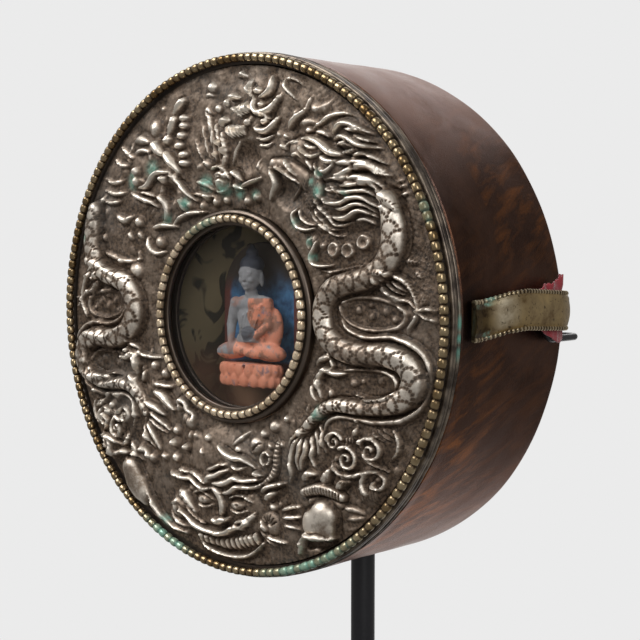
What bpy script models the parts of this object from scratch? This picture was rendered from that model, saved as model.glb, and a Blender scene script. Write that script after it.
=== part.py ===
"""Round amulet box (ga'u) with an embossed front, hung by its strap loops on a post stand.

Metres, +Z up. The origin is the centre of the base plate's underside and the
box faces -Y. The turned pieces share one axis, which runs along Y at AXIS_Z.
Along that axis a "height" is positive towards the front and zero at the plane
through the middle of the outer beaded wire.
"""

import math

import bmesh
import bpy
from mathutils import Vector

MM = 0.001

# Box
BEAD_R = 60.0 * MM
SKIRT_R = 61.4 * MM
SKIRT_T = 0.8 * MM
SKIRT_LOW = -2.9 * MM
FLANGE_INNER_R = 58.6 * MM
SKIRT_WIRE = 0.5 * MM
WALL_FRONT_R = 61.6 * MM
WALL_R = 62.3 * MM
WALL_T = 1.0 * MM
WALL_FRONT = -4.5 * MM
WALL_BACK = -44.6 * MM
BACK_T = 1.0 * MM
BACK_INSET = 0.2 * MM
SLEEVE_END = -14.0 * MM
SLEEVE_T = 0.8 * MM
SLEEVE_CLEARANCE = 0.4 * MM
PLATE_T = 1.2 * MM
PLATE_CROWN = ((58.3, -1.7), (52.0, -0.2), (40.0, 0.7), (25.3, 0.5))
WINDOW_R = 21.3 * MM
WINDOW_BEAD_R = 22.7 * MM
COLLAR_R = 25.0 * MM
COLLAR_FRONT = 0.9 * MM
COLLAR_LIP = 1.6 * MM
COLLAR_BACK = -0.5 * MM
BEAD_SEAT = 0.8 * MM
TUBE_T = 1.1 * MM
TUBE_END = -3.2 * MM
GLASS_R = 23.0 * MM
GLASS_FRONT = -0.6 * MM
GLASS_T = 1.0 * MM
RETAINER_T = 1.1 * MM
OUTER_BEAD = 0.95 * MM
INNER_BEAD = 0.9 * MM
GAP = 0.3 * MM

# Strap loops
LOOP_MID_Z = 1.2 * MM
LOOP_HALF_W = 4.5 * MM
STRIP_T = 0.8 * MM
EDGE_WIRE = 0.6 * MM
LOOP_FRONT = 7.0 * MM
LOOP_REAR = 44.2 * MM
LOOP_FRONT_FOOT = 2.5 * MM
LOOP_REAR_FOOT = 1.2 * MM
LOOP_RISE = 4.4 * MM
LOOP_STATIONS = 15

# Cloth inside the right loop: (depth, lowest z, highest z) along it, in mm
CLOTH_T = 0.8 * MM
CLOTH_EDGES = (
    (31.0, -3.0, 5.6),
    (33.5, -4.3, 6.4),
    (36.2, -3.9, 7.3),
    (38.8, -3.2, 8.0),
    (41.2, -3.0, 8.3),
)

# Shrine
FIGURE_DEPTH = 6.1 * MM
# Figure: (name, centre, radii) of its rounded masses, in mm from its own middle
FIGURE_MASSES = (
    ("legs", (0.0, 0.0, -7.2), (11.0, 2.9, 3.5)),
    ("torso", (0.0, 0.4, 0.0), (5.4, 2.5, 6.6)),
    ("right_arm", (5.6, 0.2, -0.6), (2.2, 2.3, 5.6)),
    ("left_arm", (-5.6, 0.2, -0.6), (2.2, 2.3, 5.6)),
    ("head", (0.0, 0.0, 9.4), (3.7, 2.9, 4.7)),
    ("topknot", (0.0, 0.3, 14.6), (2.0, 1.9, 2.4)),
)
# Pedestal: (half width, z) from its top to its foot, in mm
LOTUS_LEVELS = ((9.0, -11.3), (10.2, -12.9), (8.8, -14.15), (10.4, -15.6), (10.0, -17.0))
LOTUS_FLATTENING = 0.3
AUREOLE_DEPTH = 10.4 * MM
AUREOLE_T = 1.6 * MM
AUREOLE_HALF_W = 12.5 * MM
AUREOLE_ARCH_Z = 5.0 * MM
AUREOLE_LOW_Z = -14.0 * MM
BACKING_DEPTH = 14.5 * MM
BACKING_T = 0.8 * MM

# Stand
BASE_SIZE = Vector((110.0, 90.0, 8.0)) * MM
POST_R = 3.175 * MM
POST_SOCKET = 6.0 * MM
POST_ABOVE_ARMS = 4.0 * MM
POST_BORE = 8.0 * MM
ARM_R = 0.8 * MM
ARM_X = WALL_R + 1.2 * MM
ARM_Z = LOOP_MID_Z - LOOP_HALF_W - GAP - ARM_R
ARM_BEND = 2.6 * MM
HOOK_DEPTH = 34.5 * MM
HOOK_RISE = 8.0 * MM
SCREW_R = 1.5 * MM
SCREW_HEAD_R = 2.8 * MM
SCREW_HEAD_T = 1.1 * MM
COUNTERSINK = 1.4 * MM
CUTTER_OVER = 1.0 * MM
BASE_EDGE = 1.2 * MM

# Places
AXIS_Z = 120.0 * MM
FRONT_Y = -22.0 * MM
POST_DEPTH = 49.2 * MM

RING_STEPS = 64
COLLAR_STEPS = 48


def clear_scene():
    for old in list(bpy.data.objects):
        bpy.data.objects.remove(old, do_unlink=True)


def new_collection(name):
    collection = bpy.data.collections.new(name)
    bpy.context.scene.collection.children.link(collection)
    return collection


def material(name, colour, roughness, metallic=0.0):
    made = bpy.data.materials.new(name)
    made.use_nodes = True
    shader = made.node_tree.nodes["Principled BSDF"]
    shader.inputs["Base Color"].default_value = (*colour, 1.0)
    shader.inputs["Roughness"].default_value = roughness
    shader.inputs["Metallic"].default_value = metallic
    made.diffuse_color = (*colour, 1.0)
    return made


def add_object(name, data, collection, look=None, frame=None):
    made = bpy.data.objects.new(name, data)
    collection.objects.link(made)
    if look:
        data.materials.append(look)
    if frame:
        made.parent = frame
    return made


def mesh_from(name, build):
    """A mesh whose bmesh is filled by build, with its faces turned outwards."""
    mesh = bpy.data.meshes.new(name)
    bm = bmesh.new()
    build(bm)
    bmesh.ops.recalc_face_normals(bm, faces=bm.faces)
    bm.to_mesh(mesh)
    bm.free()
    return mesh


def point(x, depth, z):
    """A place in the box's own frame: depth runs back from the outer beaded wire."""
    return Vector((x, depth, z))


def turned(name, profile, steps, look, collection, frame):
    """A ring or disc turned about the box's axis from (radius, height) points."""
    mesh = bpy.data.meshes.new(name)
    bm = bmesh.new()
    verts = [bm.verts.new((radius, 0.0, height)) for radius, height in profile]
    closed = all(radius > 0.0 for radius, _ in profile)
    for first, second in zip(verts, verts[1:]):
        bm.edges.new((first, second))
    if closed:
        bm.edges.new((verts[-1], verts[0]))
    bm.to_mesh(mesh)
    bm.free()
    made = add_object(name, mesh, collection, look, frame)
    made.rotation_euler = (math.pi / 2, 0.0, 0.0)
    screw = made.modifiers.new("Turn", "SCREW")
    screw.steps = steps
    screw.render_steps = steps
    screw.use_merge_vertices = True
    screw.merge_threshold = 0.00001
    screw.use_smooth_shade = True
    return made


def ring_wire(name, radius, wire_r, height, look, collection, frame, steps):
    """A plain round wire bent into a ring about the box's axis."""
    sides = 8
    angles = [-2.0 * math.pi * (side + 0.5) / sides for side in range(sides)]
    profile = [
        (radius + wire_r * math.cos(angle), height + wire_r * math.sin(angle))
        for angle in angles
    ]
    return turned(name, profile, steps, look, collection, frame)


def box_frame(collection):
    """The empty that carries the box, at the middle of its outer beaded wire."""
    empty = bpy.data.objects.new("box_frame", None)
    empty.location = (0.0, FRONT_Y, AXIS_Z)
    collection.objects.link(empty)
    return empty


def cover(collection, frame):
    silver = material("embossed_silver", (0.42, 0.39, 0.36), 0.38, 1.0)
    bead = material("beaded_brass", (0.55, 0.45, 0.28), 0.35, 1.0)
    rim = material("dark_rim", (0.16, 0.13, 0.11), 0.45, 1.0)
    pane = material("window_pane", (0.85, 0.9, 0.88), 0.05)

    crown = [(radius * MM, height * MM) for radius, height in PLATE_CROWN]
    under = [(radius, height - PLATE_T) for radius, height in crown]
    turned("front_plate", [crown[0], *under, *crown[:0:-1]], RING_STEPS, silver,
           collection, frame)
    ring_wire("outer_beaded_wire", BEAD_R, OUTER_BEAD, 0.0, bead, collection, frame,
              RING_STEPS)

    flange_top = -OUTER_BEAD - GAP
    flange_low = flange_top - SKIRT_T
    skirt = [
        (SKIRT_R, flange_top),
        (SKIRT_R, SKIRT_LOW),
        (SKIRT_R - SKIRT_T, SKIRT_LOW),
        (SKIRT_R - SKIRT_T, flange_low),
        (FLANGE_INNER_R, flange_low),
        (FLANGE_INNER_R, flange_top),
    ]
    turned("cover_skirt", skirt, RING_STEPS, rim, collection, frame)
    ring_wire("skirt_edge_wire", SKIRT_R - GAP, SKIRT_WIRE, SKIRT_LOW - GAP - SKIRT_WIRE,
              rim, collection, frame, RING_STEPS)

    sleeve_r = WALL_FRONT_R - WALL_T - SLEEVE_CLEARANCE
    sleeve_top = flange_low - GAP
    sleeve = [
        (sleeve_r, sleeve_top),
        (sleeve_r, SLEEVE_END),
        (sleeve_r - SLEEVE_T, SLEEVE_END),
        (sleeve_r - SLEEVE_T, sleeve_top),
    ]
    turned("cover_sleeve", sleeve, RING_STEPS, rim, collection, frame)

    glass_back = GLASS_FRONT - GLASS_T
    rebate_r = GLASS_R + GAP
    tube_r = rebate_r + TUBE_T
    collar = [
        (COLLAR_R, COLLAR_FRONT),
        (COLLAR_R, COLLAR_BACK),
        (tube_r, COLLAR_BACK),
        (tube_r, TUBE_END),
        (rebate_r, TUBE_END),
        (rebate_r, GLASS_FRONT + GAP),
        (WINDOW_R, GLASS_FRONT + GAP),
        (WINDOW_R, BEAD_SEAT),
        (WINDOW_BEAD_R + INNER_BEAD + GAP, BEAD_SEAT),
        (WINDOW_BEAD_R + INNER_BEAD + 2 * GAP, COLLAR_LIP),
    ]
    turned("window_collar", collar, COLLAR_STEPS, rim, collection, frame)
    ring_wire("window_beaded_wire", WINDOW_BEAD_R, INNER_BEAD,
              BEAD_SEAT + GAP + INNER_BEAD, bead, collection, frame, COLLAR_STEPS)
    glass = [(0.0, GLASS_FRONT), (GLASS_R, GLASS_FRONT), (GLASS_R, glass_back),
             (0.0, glass_back)]
    turned("window_glass", glass, COLLAR_STEPS, pane, collection, frame)
    ring_top = glass_back - GAP
    retainer = [
        (GLASS_R, ring_top),
        (GLASS_R, ring_top - RETAINER_T),
        (WINDOW_R, ring_top - RETAINER_T),
        (WINDOW_R, ring_top),
    ]
    turned("glass_retaining_ring", retainer, COLLAR_STEPS, rim, collection, frame)


def wall_r(depth):
    """The wall's outer radius, which grows a little towards the back."""
    along = (depth + WALL_FRONT) / (WALL_FRONT - WALL_BACK)
    return WALL_FRONT_R + along * (WALL_R - WALL_FRONT_R)


def loop_x(depth):
    """How far a strap loop's centre line is from the box's middle at a depth."""
    first = LOOP_FRONT + LOOP_FRONT_FOOT
    last = LOOP_REAR - LOOP_REAR_FOOT
    along = min(max((depth - first) / (last - first), 0.0), 1.0)
    ahead = min(along / 0.34, 1.0)
    behind = min((1.0 - along) / 0.30, 1.0)
    rise = LOOP_RISE * math.sin(ahead * math.pi / 2) ** 1.4
    rise *= math.sin(behind * math.pi / 2) ** 0.8
    return wall_r(depth) + GAP + STRIP_T / 2 + rise


def loop_path(offset):
    """Points along a strap loop's middle, offset outwards from its own centre line."""
    first = LOOP_FRONT + LOOP_FRONT_FOOT
    last = LOOP_REAR - LOOP_REAR_FOOT
    depths = [LOOP_FRONT]
    for index in range(LOOP_STATIONS):
        depths.append(first + index / (LOOP_STATIONS - 1) * (last - first))
    depths.append(LOOP_REAR)
    return [point(loop_x(depth) + offset, depth, 0.0) for depth in depths]


def strap_loop(side, name, collection, frame, brass, wire_brass):
    half = LOOP_HALF_W - 2 * EDGE_WIRE - GAP

    def strip(bm):
        rows = []
        for place in loop_path(0.0):
            low = bm.verts.new((side * place.x, place.y, LOOP_MID_Z - half))
            high = bm.verts.new((side * place.x, place.y, LOOP_MID_Z + half))
            rows.append((low, high))
        for (low_a, high_a), (low_b, high_b) in zip(rows, rows[1:]):
            bm.faces.new((low_a, low_b, high_b, high_a))

    made = add_object("strap_loop_" + name, mesh_from("strap_loop_" + name, strip),
                      collection, brass, frame)
    solid = made.modifiers.new("Thickness", "SOLIDIFY")
    solid.thickness = STRIP_T
    solid.offset = 0.0

    for edge, sign in (("upper", 1.0), ("lower", -1.0)):
        z = LOOP_MID_Z + sign * (LOOP_HALF_W - EDGE_WIRE)
        wire_path = [point(side * place.x, place.y, z)
                     for place in loop_path(EDGE_WIRE - STRIP_T / 2)]
        rod(f"loop_edge_wire_{name}_{edge}", wire_path, EDGE_WIRE, wire_brass,
            collection, frame)


def rod(name, places, radius, look, collection, frame):
    """A round wire along a list of places."""
    curve = bpy.data.curves.new(name, "CURVE")
    curve.dimensions = "3D"
    curve.bevel_depth = radius
    curve.bevel_resolution = 2
    curve.use_fill_caps = True
    spline = curve.splines.new("POLY")
    spline.points.add(len(places) - 1)
    for spot, place in zip(spline.points, places):
        spot.co = (*place, 1.0)
    return add_object(name, curve, collection, look, frame)


def bent(corners, radius, steps=5):
    """The corners' path with each inner corner rounded to a radius."""
    path = [corners[0]]
    for before, corner, after in zip(corners, corners[1:], corners[2:]):
        back = (before - corner).normalized()
        ahead = (after - corner).normalized()
        start = corner + back * radius
        centre = start + ahead * radius
        for step in range(steps + 1):
            angle = step / steps * math.pi / 2
            path.append(centre - ahead * radius * math.cos(angle)
                        - back * radius * math.sin(angle))
    path.append(corners[-1])
    return path


def case(collection, frame):
    copper = material("copper_wall", (0.13, 0.07, 0.045), 0.42, 1.0)
    brass = material("loop_brass", (0.38, 0.31, 0.18), 0.38, 1.0)
    wire_brass = material("loop_wire_brass", (0.34, 0.28, 0.17), 0.42, 1.0)

    wall = [(WALL_FRONT_R, WALL_FRONT), (WALL_R, WALL_BACK), (WALL_R - WALL_T, WALL_BACK),
            (WALL_FRONT_R - WALL_T, WALL_FRONT)]
    turned("case_wall", wall, RING_STEPS, copper, collection, frame)
    back_low = WALL_BACK + BACK_INSET
    back_high = back_low + BACK_T
    back_r = WALL_R - WALL_T - GAP
    back = [(0.0, back_high), (back_r, back_high), (back_r, back_low), (0.0, back_low)]
    turned("case_back", back, RING_STEPS, copper, collection, frame)
    for side, name in ((1.0, "right"), (-1.0, "left")):
        strap_loop(side, name, collection, frame, brass, wire_brass)


def shrine(collection, frame, cutters):
    clay = material("painted_clay", (0.36, 0.34, 0.33), 0.7)
    lotus = material("painted_lotus", (0.62, 0.25, 0.16), 0.7)
    blue = material("painted_aureole", (0.07, 0.14, 0.28), 0.7)
    paper = material("printed_paper", (0.30, 0.24, 0.13), 0.85)

    backing_r = WALL_FRONT_R - WALL_T - GAP
    backing_back = -BACKING_DEPTH - BACKING_T
    backing = [(0.0, -BACKING_DEPTH), (backing_r, -BACKING_DEPTH), (backing_r, backing_back),
               (0.0, backing_back)]
    turned("shrine_backing", backing, RING_STEPS, paper, collection, frame)

    half = AUREOLE_HALF_W
    arch_steps = 12
    outline = [point(-half, 0.0, AUREOLE_LOW_Z), point(half, 0.0, AUREOLE_LOW_Z)]
    for step in range(arch_steps + 1):
        angle = math.pi * step / arch_steps
        outline.append(point(half * math.cos(angle), 0.0,
                             AUREOLE_ARCH_Z + half * math.sin(angle)))

    def arch(bm):
        bm.faces.new([bm.verts.new(place) for place in outline])

    aureole = add_object("aureole", mesh_from("aureole", arch), collection, blue, frame)
    aureole.location.y = AUREOLE_DEPTH
    thick = aureole.modifiers.new("Thickness", "SOLIDIFY")
    thick.thickness = AUREOLE_T
    thick.offset = 0.0

    figure = None
    for name, centre, radii in FIGURE_MASSES:

        def ball(bm, centre=centre, radii=radii):
            bmesh.ops.create_uvsphere(bm, u_segments=12, v_segments=8, radius=1.0)
            bmesh.ops.scale(bm, vec=Vector(radii) * MM, verts=bm.verts)
            bmesh.ops.translate(bm, vec=Vector(centre) * MM, verts=bm.verts)

        if figure is None:
            figure = add_object("figure", mesh_from("figure", ball), collection, clay, frame)
            figure.location.y = FIGURE_DEPTH
            continue
        piece = add_object("figure_" + name, mesh_from("figure_" + name, ball), cutters,
                           None, frame)
        piece.location.y = FIGURE_DEPTH
        hide_cutter(piece)
        join = figure.modifiers.new("Join " + name, "BOOLEAN")
        join.operation = "UNION"
        join.object = piece

    def pedestal(bm):
        steps = 24
        rings = []
        for half_w, z in LOTUS_LEVELS:
            ring = []
            for step in range(steps):
                angle = 2.0 * math.pi * step / steps
                place = Vector((math.cos(angle), LOTUS_FLATTENING * math.sin(angle), 0.0))
                place *= half_w
                place.z = z
                ring.append(bm.verts.new(place * MM))
            rings.append(ring)
        for upper, lower in zip(rings, rings[1:]):
            for step in range(steps):
                after = (step + 1) % steps
                bm.faces.new((upper[step], lower[step], lower[after], upper[after]))
        bm.faces.new(rings[0])
        bm.faces.new(rings[-1][::-1])

    base = add_object("lotus_base", mesh_from("lotus_base", pedestal), collection, lotus,
                      frame)
    base.location.y = FIGURE_DEPTH


def red_cloth(collection, frame):
    """A scrap of cloth that lines the right loop and stands up above it."""
    cloth = material("red_cloth", (0.33, 0.04, 0.05), 0.9)

    def strip(bm):
        columns = []
        for depth, low, high in CLOTH_EDGES:
            x = loop_x(depth * MM) - (STRIP_T + CLOTH_T) / 2 - GAP
            columns.append([bm.verts.new((x, depth * MM, z * MM)) for z in (low, high)])
        for (low_a, high_a), (low_b, high_b) in zip(columns, columns[1:]):
            bm.faces.new((low_a, low_b, high_b, high_a))

    made = add_object("red_cloth_right", mesh_from("red_cloth_right", strip), collection,
                      cloth, frame)
    solid = made.modifiers.new("Thickness", "SOLIDIFY")
    solid.thickness = CLOTH_T
    solid.offset = 0.0


def hide_cutter(cutter):
    cutter.hide_render = True
    cutter.display_type = "WIRE"


def cutter_cone(name, place, low_r, high_r, depth, cutters):
    def cone(bm):
        bmesh.ops.create_cone(bm, cap_ends=True, segments=32, radius1=low_r, radius2=high_r,
                              depth=depth)

    made = add_object(name, mesh_from(name, cone), cutters)
    made.location = place
    hide_cutter(made)
    return made


def cut(target, cutter):
    boolean = target.modifiers.new("Cut " + cutter.name, "BOOLEAN")
    boolean.operation = "DIFFERENCE"
    boolean.object = cutter


def stand(collection, cutters):
    black = material("black_paint", (0.015, 0.015, 0.017), 0.4)
    steel = material("zinc_screw", (0.5, 0.5, 0.5), 0.35, 1.0)
    post_y = FRONT_Y + POST_DEPTH

    def slab(bm):
        bmesh.ops.create_cube(bm, size=1.0)
        bmesh.ops.scale(bm, vec=BASE_SIZE, verts=bm.verts)

    base = add_object("mount_base", mesh_from("mount_base", slab), collection, black)
    base.location.z = BASE_SIZE.z / 2
    edge = base.modifiers.new("Rounded edges", "BEVEL")
    edge.width = BASE_EDGE
    edge.segments = 2
    floor_t = BASE_SIZE.z - POST_SOCKET
    over = CUTTER_OVER
    socket = cutter_cone("socket_cutter",
                         (0.0, post_y, floor_t + (POST_SOCKET + over) / 2),
                         POST_R + GAP, POST_R + GAP, POST_SOCKET + over, cutters)
    cut(base, socket)
    shank_hole = SCREW_R + GAP
    through = cutter_cone("screw_hole_cutter", (0.0, post_y, floor_t / 2), shank_hole,
                          shank_hole, floor_t + 2 * over, cutters)
    cut(base, through)
    sink = cutter_cone("countersink_cutter", (0.0, post_y, (COUNTERSINK - over) / 2),
                       SCREW_HEAD_R + GAP + over, shank_hole, COUNTERSINK + over, cutters)
    cut(base, sink)

    post_low = floor_t + GAP
    post_high = AXIS_Z + ARM_Z + POST_ABOVE_ARMS

    def shaft(bm):
        bmesh.ops.create_cone(bm, cap_ends=True, segments=32, radius1=POST_R,
                              radius2=POST_R, depth=post_high - post_low)

    post = add_object("mount_post", mesh_from("mount_post", shaft), collection, black)
    post.location = (0.0, post_y, (post_low + post_high) / 2)
    bore = cutter_cone("post_bore_cutter",
                       (0.0, post_y, post_low + (POST_BORE - over) / 2),
                       SCREW_R + GAP, SCREW_R + GAP, POST_BORE + over, cutters)
    cut(post, bore)

    head_low = GAP
    head_high = head_low + SCREW_HEAD_T
    tip = post_low + POST_BORE - 1.0 * MM
    screw_profile = [(0.0, tip), (SCREW_R, tip), (SCREW_R, head_high),
                     (SCREW_HEAD_R, head_low), (0.0, head_low)]
    screw = turned("post_screw", screw_profile, 24, steel, collection, None)
    screw.rotation_euler = (0.0, 0.0, 0.0)
    screw.location = (0.0, post_y, 0.0)

    for side, name in ((1.0, "right"), (-1.0, "left")):
        z = AXIS_Z + ARM_Z
        corners = [
            Vector((side * (POST_R + GAP), post_y, z)),
            Vector((side * ARM_X, post_y, z)),
            Vector((side * ARM_X, FRONT_Y + HOOK_DEPTH, z)),
            Vector((side * ARM_X, FRONT_Y + HOOK_DEPTH, z + HOOK_RISE)),
        ]
        rod("mount_arm_" + name, bent(corners, ARM_BEND), ARM_R, black, collection, None)


def main():
    clear_scene()
    parts = new_collection("amulet_box_on_stand")
    cutters = new_collection("cutters")
    frame = box_frame(parts)
    cover(parts, frame)
    case(parts, frame)
    shrine(parts, frame, cutters)
    red_cloth(parts, frame)
    stand(parts, cutters)


main()
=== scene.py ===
"""The looks of a round amulet box (ga'u) hung on a post stand.

Work inside the box is done in millimetres as (x, z, height): x to the right and
z up from the box's axis, and height towards the viewer from the plane through
the middle of the outer beaded wire. world() turns those into metres.
"""

import math

import bmesh
import bpy
import numpy as np
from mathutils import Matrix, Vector

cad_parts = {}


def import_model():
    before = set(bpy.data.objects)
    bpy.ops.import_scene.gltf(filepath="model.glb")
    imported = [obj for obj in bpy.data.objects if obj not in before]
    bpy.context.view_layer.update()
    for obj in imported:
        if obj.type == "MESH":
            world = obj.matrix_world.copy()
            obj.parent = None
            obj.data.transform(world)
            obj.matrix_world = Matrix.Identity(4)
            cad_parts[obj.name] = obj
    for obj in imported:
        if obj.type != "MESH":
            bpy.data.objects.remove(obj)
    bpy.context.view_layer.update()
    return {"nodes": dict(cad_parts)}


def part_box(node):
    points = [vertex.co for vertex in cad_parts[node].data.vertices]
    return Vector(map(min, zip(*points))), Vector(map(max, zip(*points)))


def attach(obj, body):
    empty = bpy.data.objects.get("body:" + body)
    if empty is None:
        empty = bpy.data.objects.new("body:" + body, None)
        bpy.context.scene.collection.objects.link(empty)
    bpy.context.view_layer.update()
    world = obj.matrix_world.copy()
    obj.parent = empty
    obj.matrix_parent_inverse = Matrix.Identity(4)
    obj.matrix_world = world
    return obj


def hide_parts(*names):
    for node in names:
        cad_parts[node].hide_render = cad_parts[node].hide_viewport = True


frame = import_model()

MM = 0.001
TAU = 2.0 * math.pi


def box_mm(node):
    """A node's lowest and highest corners in the box's own (x, z, height), in mm."""
    low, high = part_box(node)
    return (
        np.array([low[0], low[2] - AXIS_Z, FRONT_Y - high[1]]) / MM,
        np.array([high[0], high[2] - AXIS_Z, FRONT_Y - low[1]]) / MM,
    )


bead_low, bead_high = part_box("outer_beaded_wire")
AXIS_Z = (bead_low[2] + bead_high[2]) / 2
FRONT_Y = (bead_low[1] + bead_high[1]) / 2

PLATE_R = box_mm("front_plate")[1][0]
WIRE_R = box_mm("outer_beaded_wire")[1][2]
BEAD_R = box_mm("outer_beaded_wire")[1][0] - WIRE_R
WALL_R = box_mm("case_wall")[1][0]
WALL_BACK, WALL_FRONT = (corner[2] for corner in box_mm("case_wall"))
SKIRT_R = box_mm("cover_skirt")[1][0]
SKIRT_BACK, SKIRT_FRONT = (corner[2] for corner in box_mm("cover_skirt"))
WALL_FRONT_R = SKIRT_R + 0.2
COLLAR_R = box_mm("window_collar")[1][0]
INNER_WIRE_LOW, INNER_WIRE_HIGH = (c[2] for c in box_mm("window_beaded_wire"))
INNER_WIRE_R = (INNER_WIRE_HIGH - INNER_WIRE_LOW) / 2
INNER_BEAD_R = box_mm("window_beaded_wire")[1][0] - INNER_WIRE_R
WINDOW_R = INNER_BEAD_R - 1.4


def wall_r(height):
    """The wall's outer radius, which grows a little towards the back."""
    along = (WALL_FRONT - height) / (WALL_FRONT - WALL_BACK)
    return WALL_FRONT_R + (WALL_R - WALL_FRONT_R) * along


def full_turn(steps):
    """Evenly spaced angles round a circle."""
    return np.arange(steps) * TAU / steps


def apart(turn, place):
    """The signed angle from a place to each turn, the shorter way round."""
    return (turn - place + math.pi) % TAU - math.pi


def bell(value, centre, width):
    """1 at the centre, falling smoothly to 0 on both sides."""
    return np.exp(-(((value - centre) / width) ** 2))


# Meshes


def world(points):
    """(x, z, height) in mm to metres in the model's frame."""
    points = np.asarray(points, dtype=float)
    out = np.empty_like(points)
    out[..., 0] = points[..., 0] * MM
    out[..., 1] = FRONT_Y - points[..., 2] * MM
    out[..., 2] = AXIS_Z + points[..., 1] * MM
    return out


def add_object(name, data):
    """A new object in the scene."""
    made = bpy.data.objects.new(name, data)
    bpy.context.scene.collection.objects.link(made)
    return made


def add_piece(name, mesh, body, look, node):
    """A piece that rides on a body and stands in for one of the CAD's nodes."""
    made = add_object(name, mesh)
    mesh.materials.append(look)
    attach(made, body)
    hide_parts(node)
    return made


def finish_mesh(mesh, sharp=35.0):
    """Faces out, smooth shading, and sharp edges above an angle in degrees."""
    bm = bmesh.new()
    bm.from_mesh(mesh)
    bmesh.ops.recalc_face_normals(bm, faces=bm.faces)
    bm.to_mesh(mesh)
    bm.free()
    mesh.shade_smooth()
    mesh.set_sharp_from_angle(angle=math.radians(sharp))
    return mesh


def grid_mesh(name, grid, wrap_rows, caps=False, sharp=35.0):
    """A mesh from rows of points. Columns always wrap. Rows wrap into a ring, or end in caps."""
    rows, cols = grid.shape[:2]
    index = np.arange(rows * cols).reshape(rows, cols)
    ahead = np.roll(index, -1, axis=0) if wrap_rows else index[1:]
    here = index if wrap_rows else index[:-1]
    quads = np.stack(
        [here, ahead, np.roll(ahead, -1, axis=1), np.roll(here, -1, axis=1)], axis=-1
    ).reshape(-1, 4)
    faces = quads.tolist()
    if caps:
        faces.append(index[0].tolist())
        faces.append(index[-1][::-1].tolist())
    mesh = bpy.data.meshes.new(name)
    mesh.from_pydata(grid.reshape(-1, 3).tolist(), [], faces)
    return finish_mesh(mesh, sharp)


def paint(mesh, name, values):
    """A number for each vertex, which the materials read by name."""
    layer = mesh.attributes.new(name, "FLOAT", "POINT")
    layer.data.foreach_set("value", np.asarray(values, dtype=np.float32).ravel())


def rounded(profile, radius, steps=4):
    """A closed outline with each corner rounded."""
    profile = [np.array(corner, dtype=float) for corner in profile]
    out = []
    for before, corner, after in zip(profile[-1:] + profile, profile, profile[1:] + profile[:1]):
        back, ahead = before - corner, after - corner
        cut = min(radius, np.linalg.norm(back) * 0.45, np.linalg.norm(ahead) * 0.45)
        start = corner + back / np.linalg.norm(back) * cut
        end = corner + ahead / np.linalg.norm(ahead) * cut
        for step in range(steps + 1):
            t = step / steps
            out.append((1 - t) ** 2 * start + 2 * t * (1 - t) * corner + t * t * end)
    return np.array(out)


def corners_of(mesh):
    """A mesh's vertices, one row each."""
    places = np.empty(len(mesh.vertices) * 3)
    mesh.vertices.foreach_get("co", places)
    return places.reshape(-1, 3)


def turned(profile, steps, shape):
    """An outline turned about the box's axis, as rows of points in the model's frame."""
    radius = np.repeat(profile[:, :1], steps, axis=1)
    height = np.repeat(profile[:, 1:2], steps, axis=1)
    turn = np.repeat(full_turn(steps)[None, :], len(profile), axis=0)
    if shape:
        radius, height = shape(radius, height, turn)
    return world(np.stack([radius * np.cos(turn), radius * np.sin(turn), height], axis=-1))


def lathe(name, profile, steps, shape=None, sharp=35.0):
    """A ring turned about the box's axis. shape(radius, height, angle) may move its points."""
    return grid_mesh(name, turned(profile, steps, shape), wrap_rows=True, sharp=sharp)


def disc(name, profile, steps, shape=None):
    """A turned solid whose outline starts and ends near the axis."""
    return grid_mesh(name, turned(profile, steps, shape), wrap_rows=False, caps=True)


def smooth_path(points, steps=6):
    """A Catmull-Rom curve through given points, of any number of values each."""
    points = np.array(points, dtype=float)
    padded = np.vstack([2 * points[0] - points[1], points, 2 * points[-1] - points[-2]])
    out = []
    for a, b, c, d in zip(padded, padded[1:], padded[2:], padded[3:]):
        for step in range(steps):
            t = step / steps
            out.append(0.5 * (2 * b + (c - a) * t + (2 * a - 5 * b + 4 * c - d) * t * t
                              + (3 * b - a - 3 * c + d) * t ** 3))
    out.append(points[-1])
    return np.array(out)


def bent(corners, radius, steps=8):
    """The corners' path with each inner corner rounded to a radius."""
    corners = [Vector(corner) for corner in corners]
    path = [corners[0]]
    for before, corner, after in zip(corners, corners[1:], corners[2:]):
        back = (before - corner).normalized()
        ahead = (after - corner).normalized()
        centre = corner + (back + ahead) * radius
        for step in range(steps + 1):
            angle = step / steps * math.pi / 2
            path.append(centre - ahead * radius * math.cos(angle)
                        - back * radius * math.sin(angle))
    path.append(corners[-1])
    return np.array([tuple(place) for place in path])


# Materials


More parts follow.
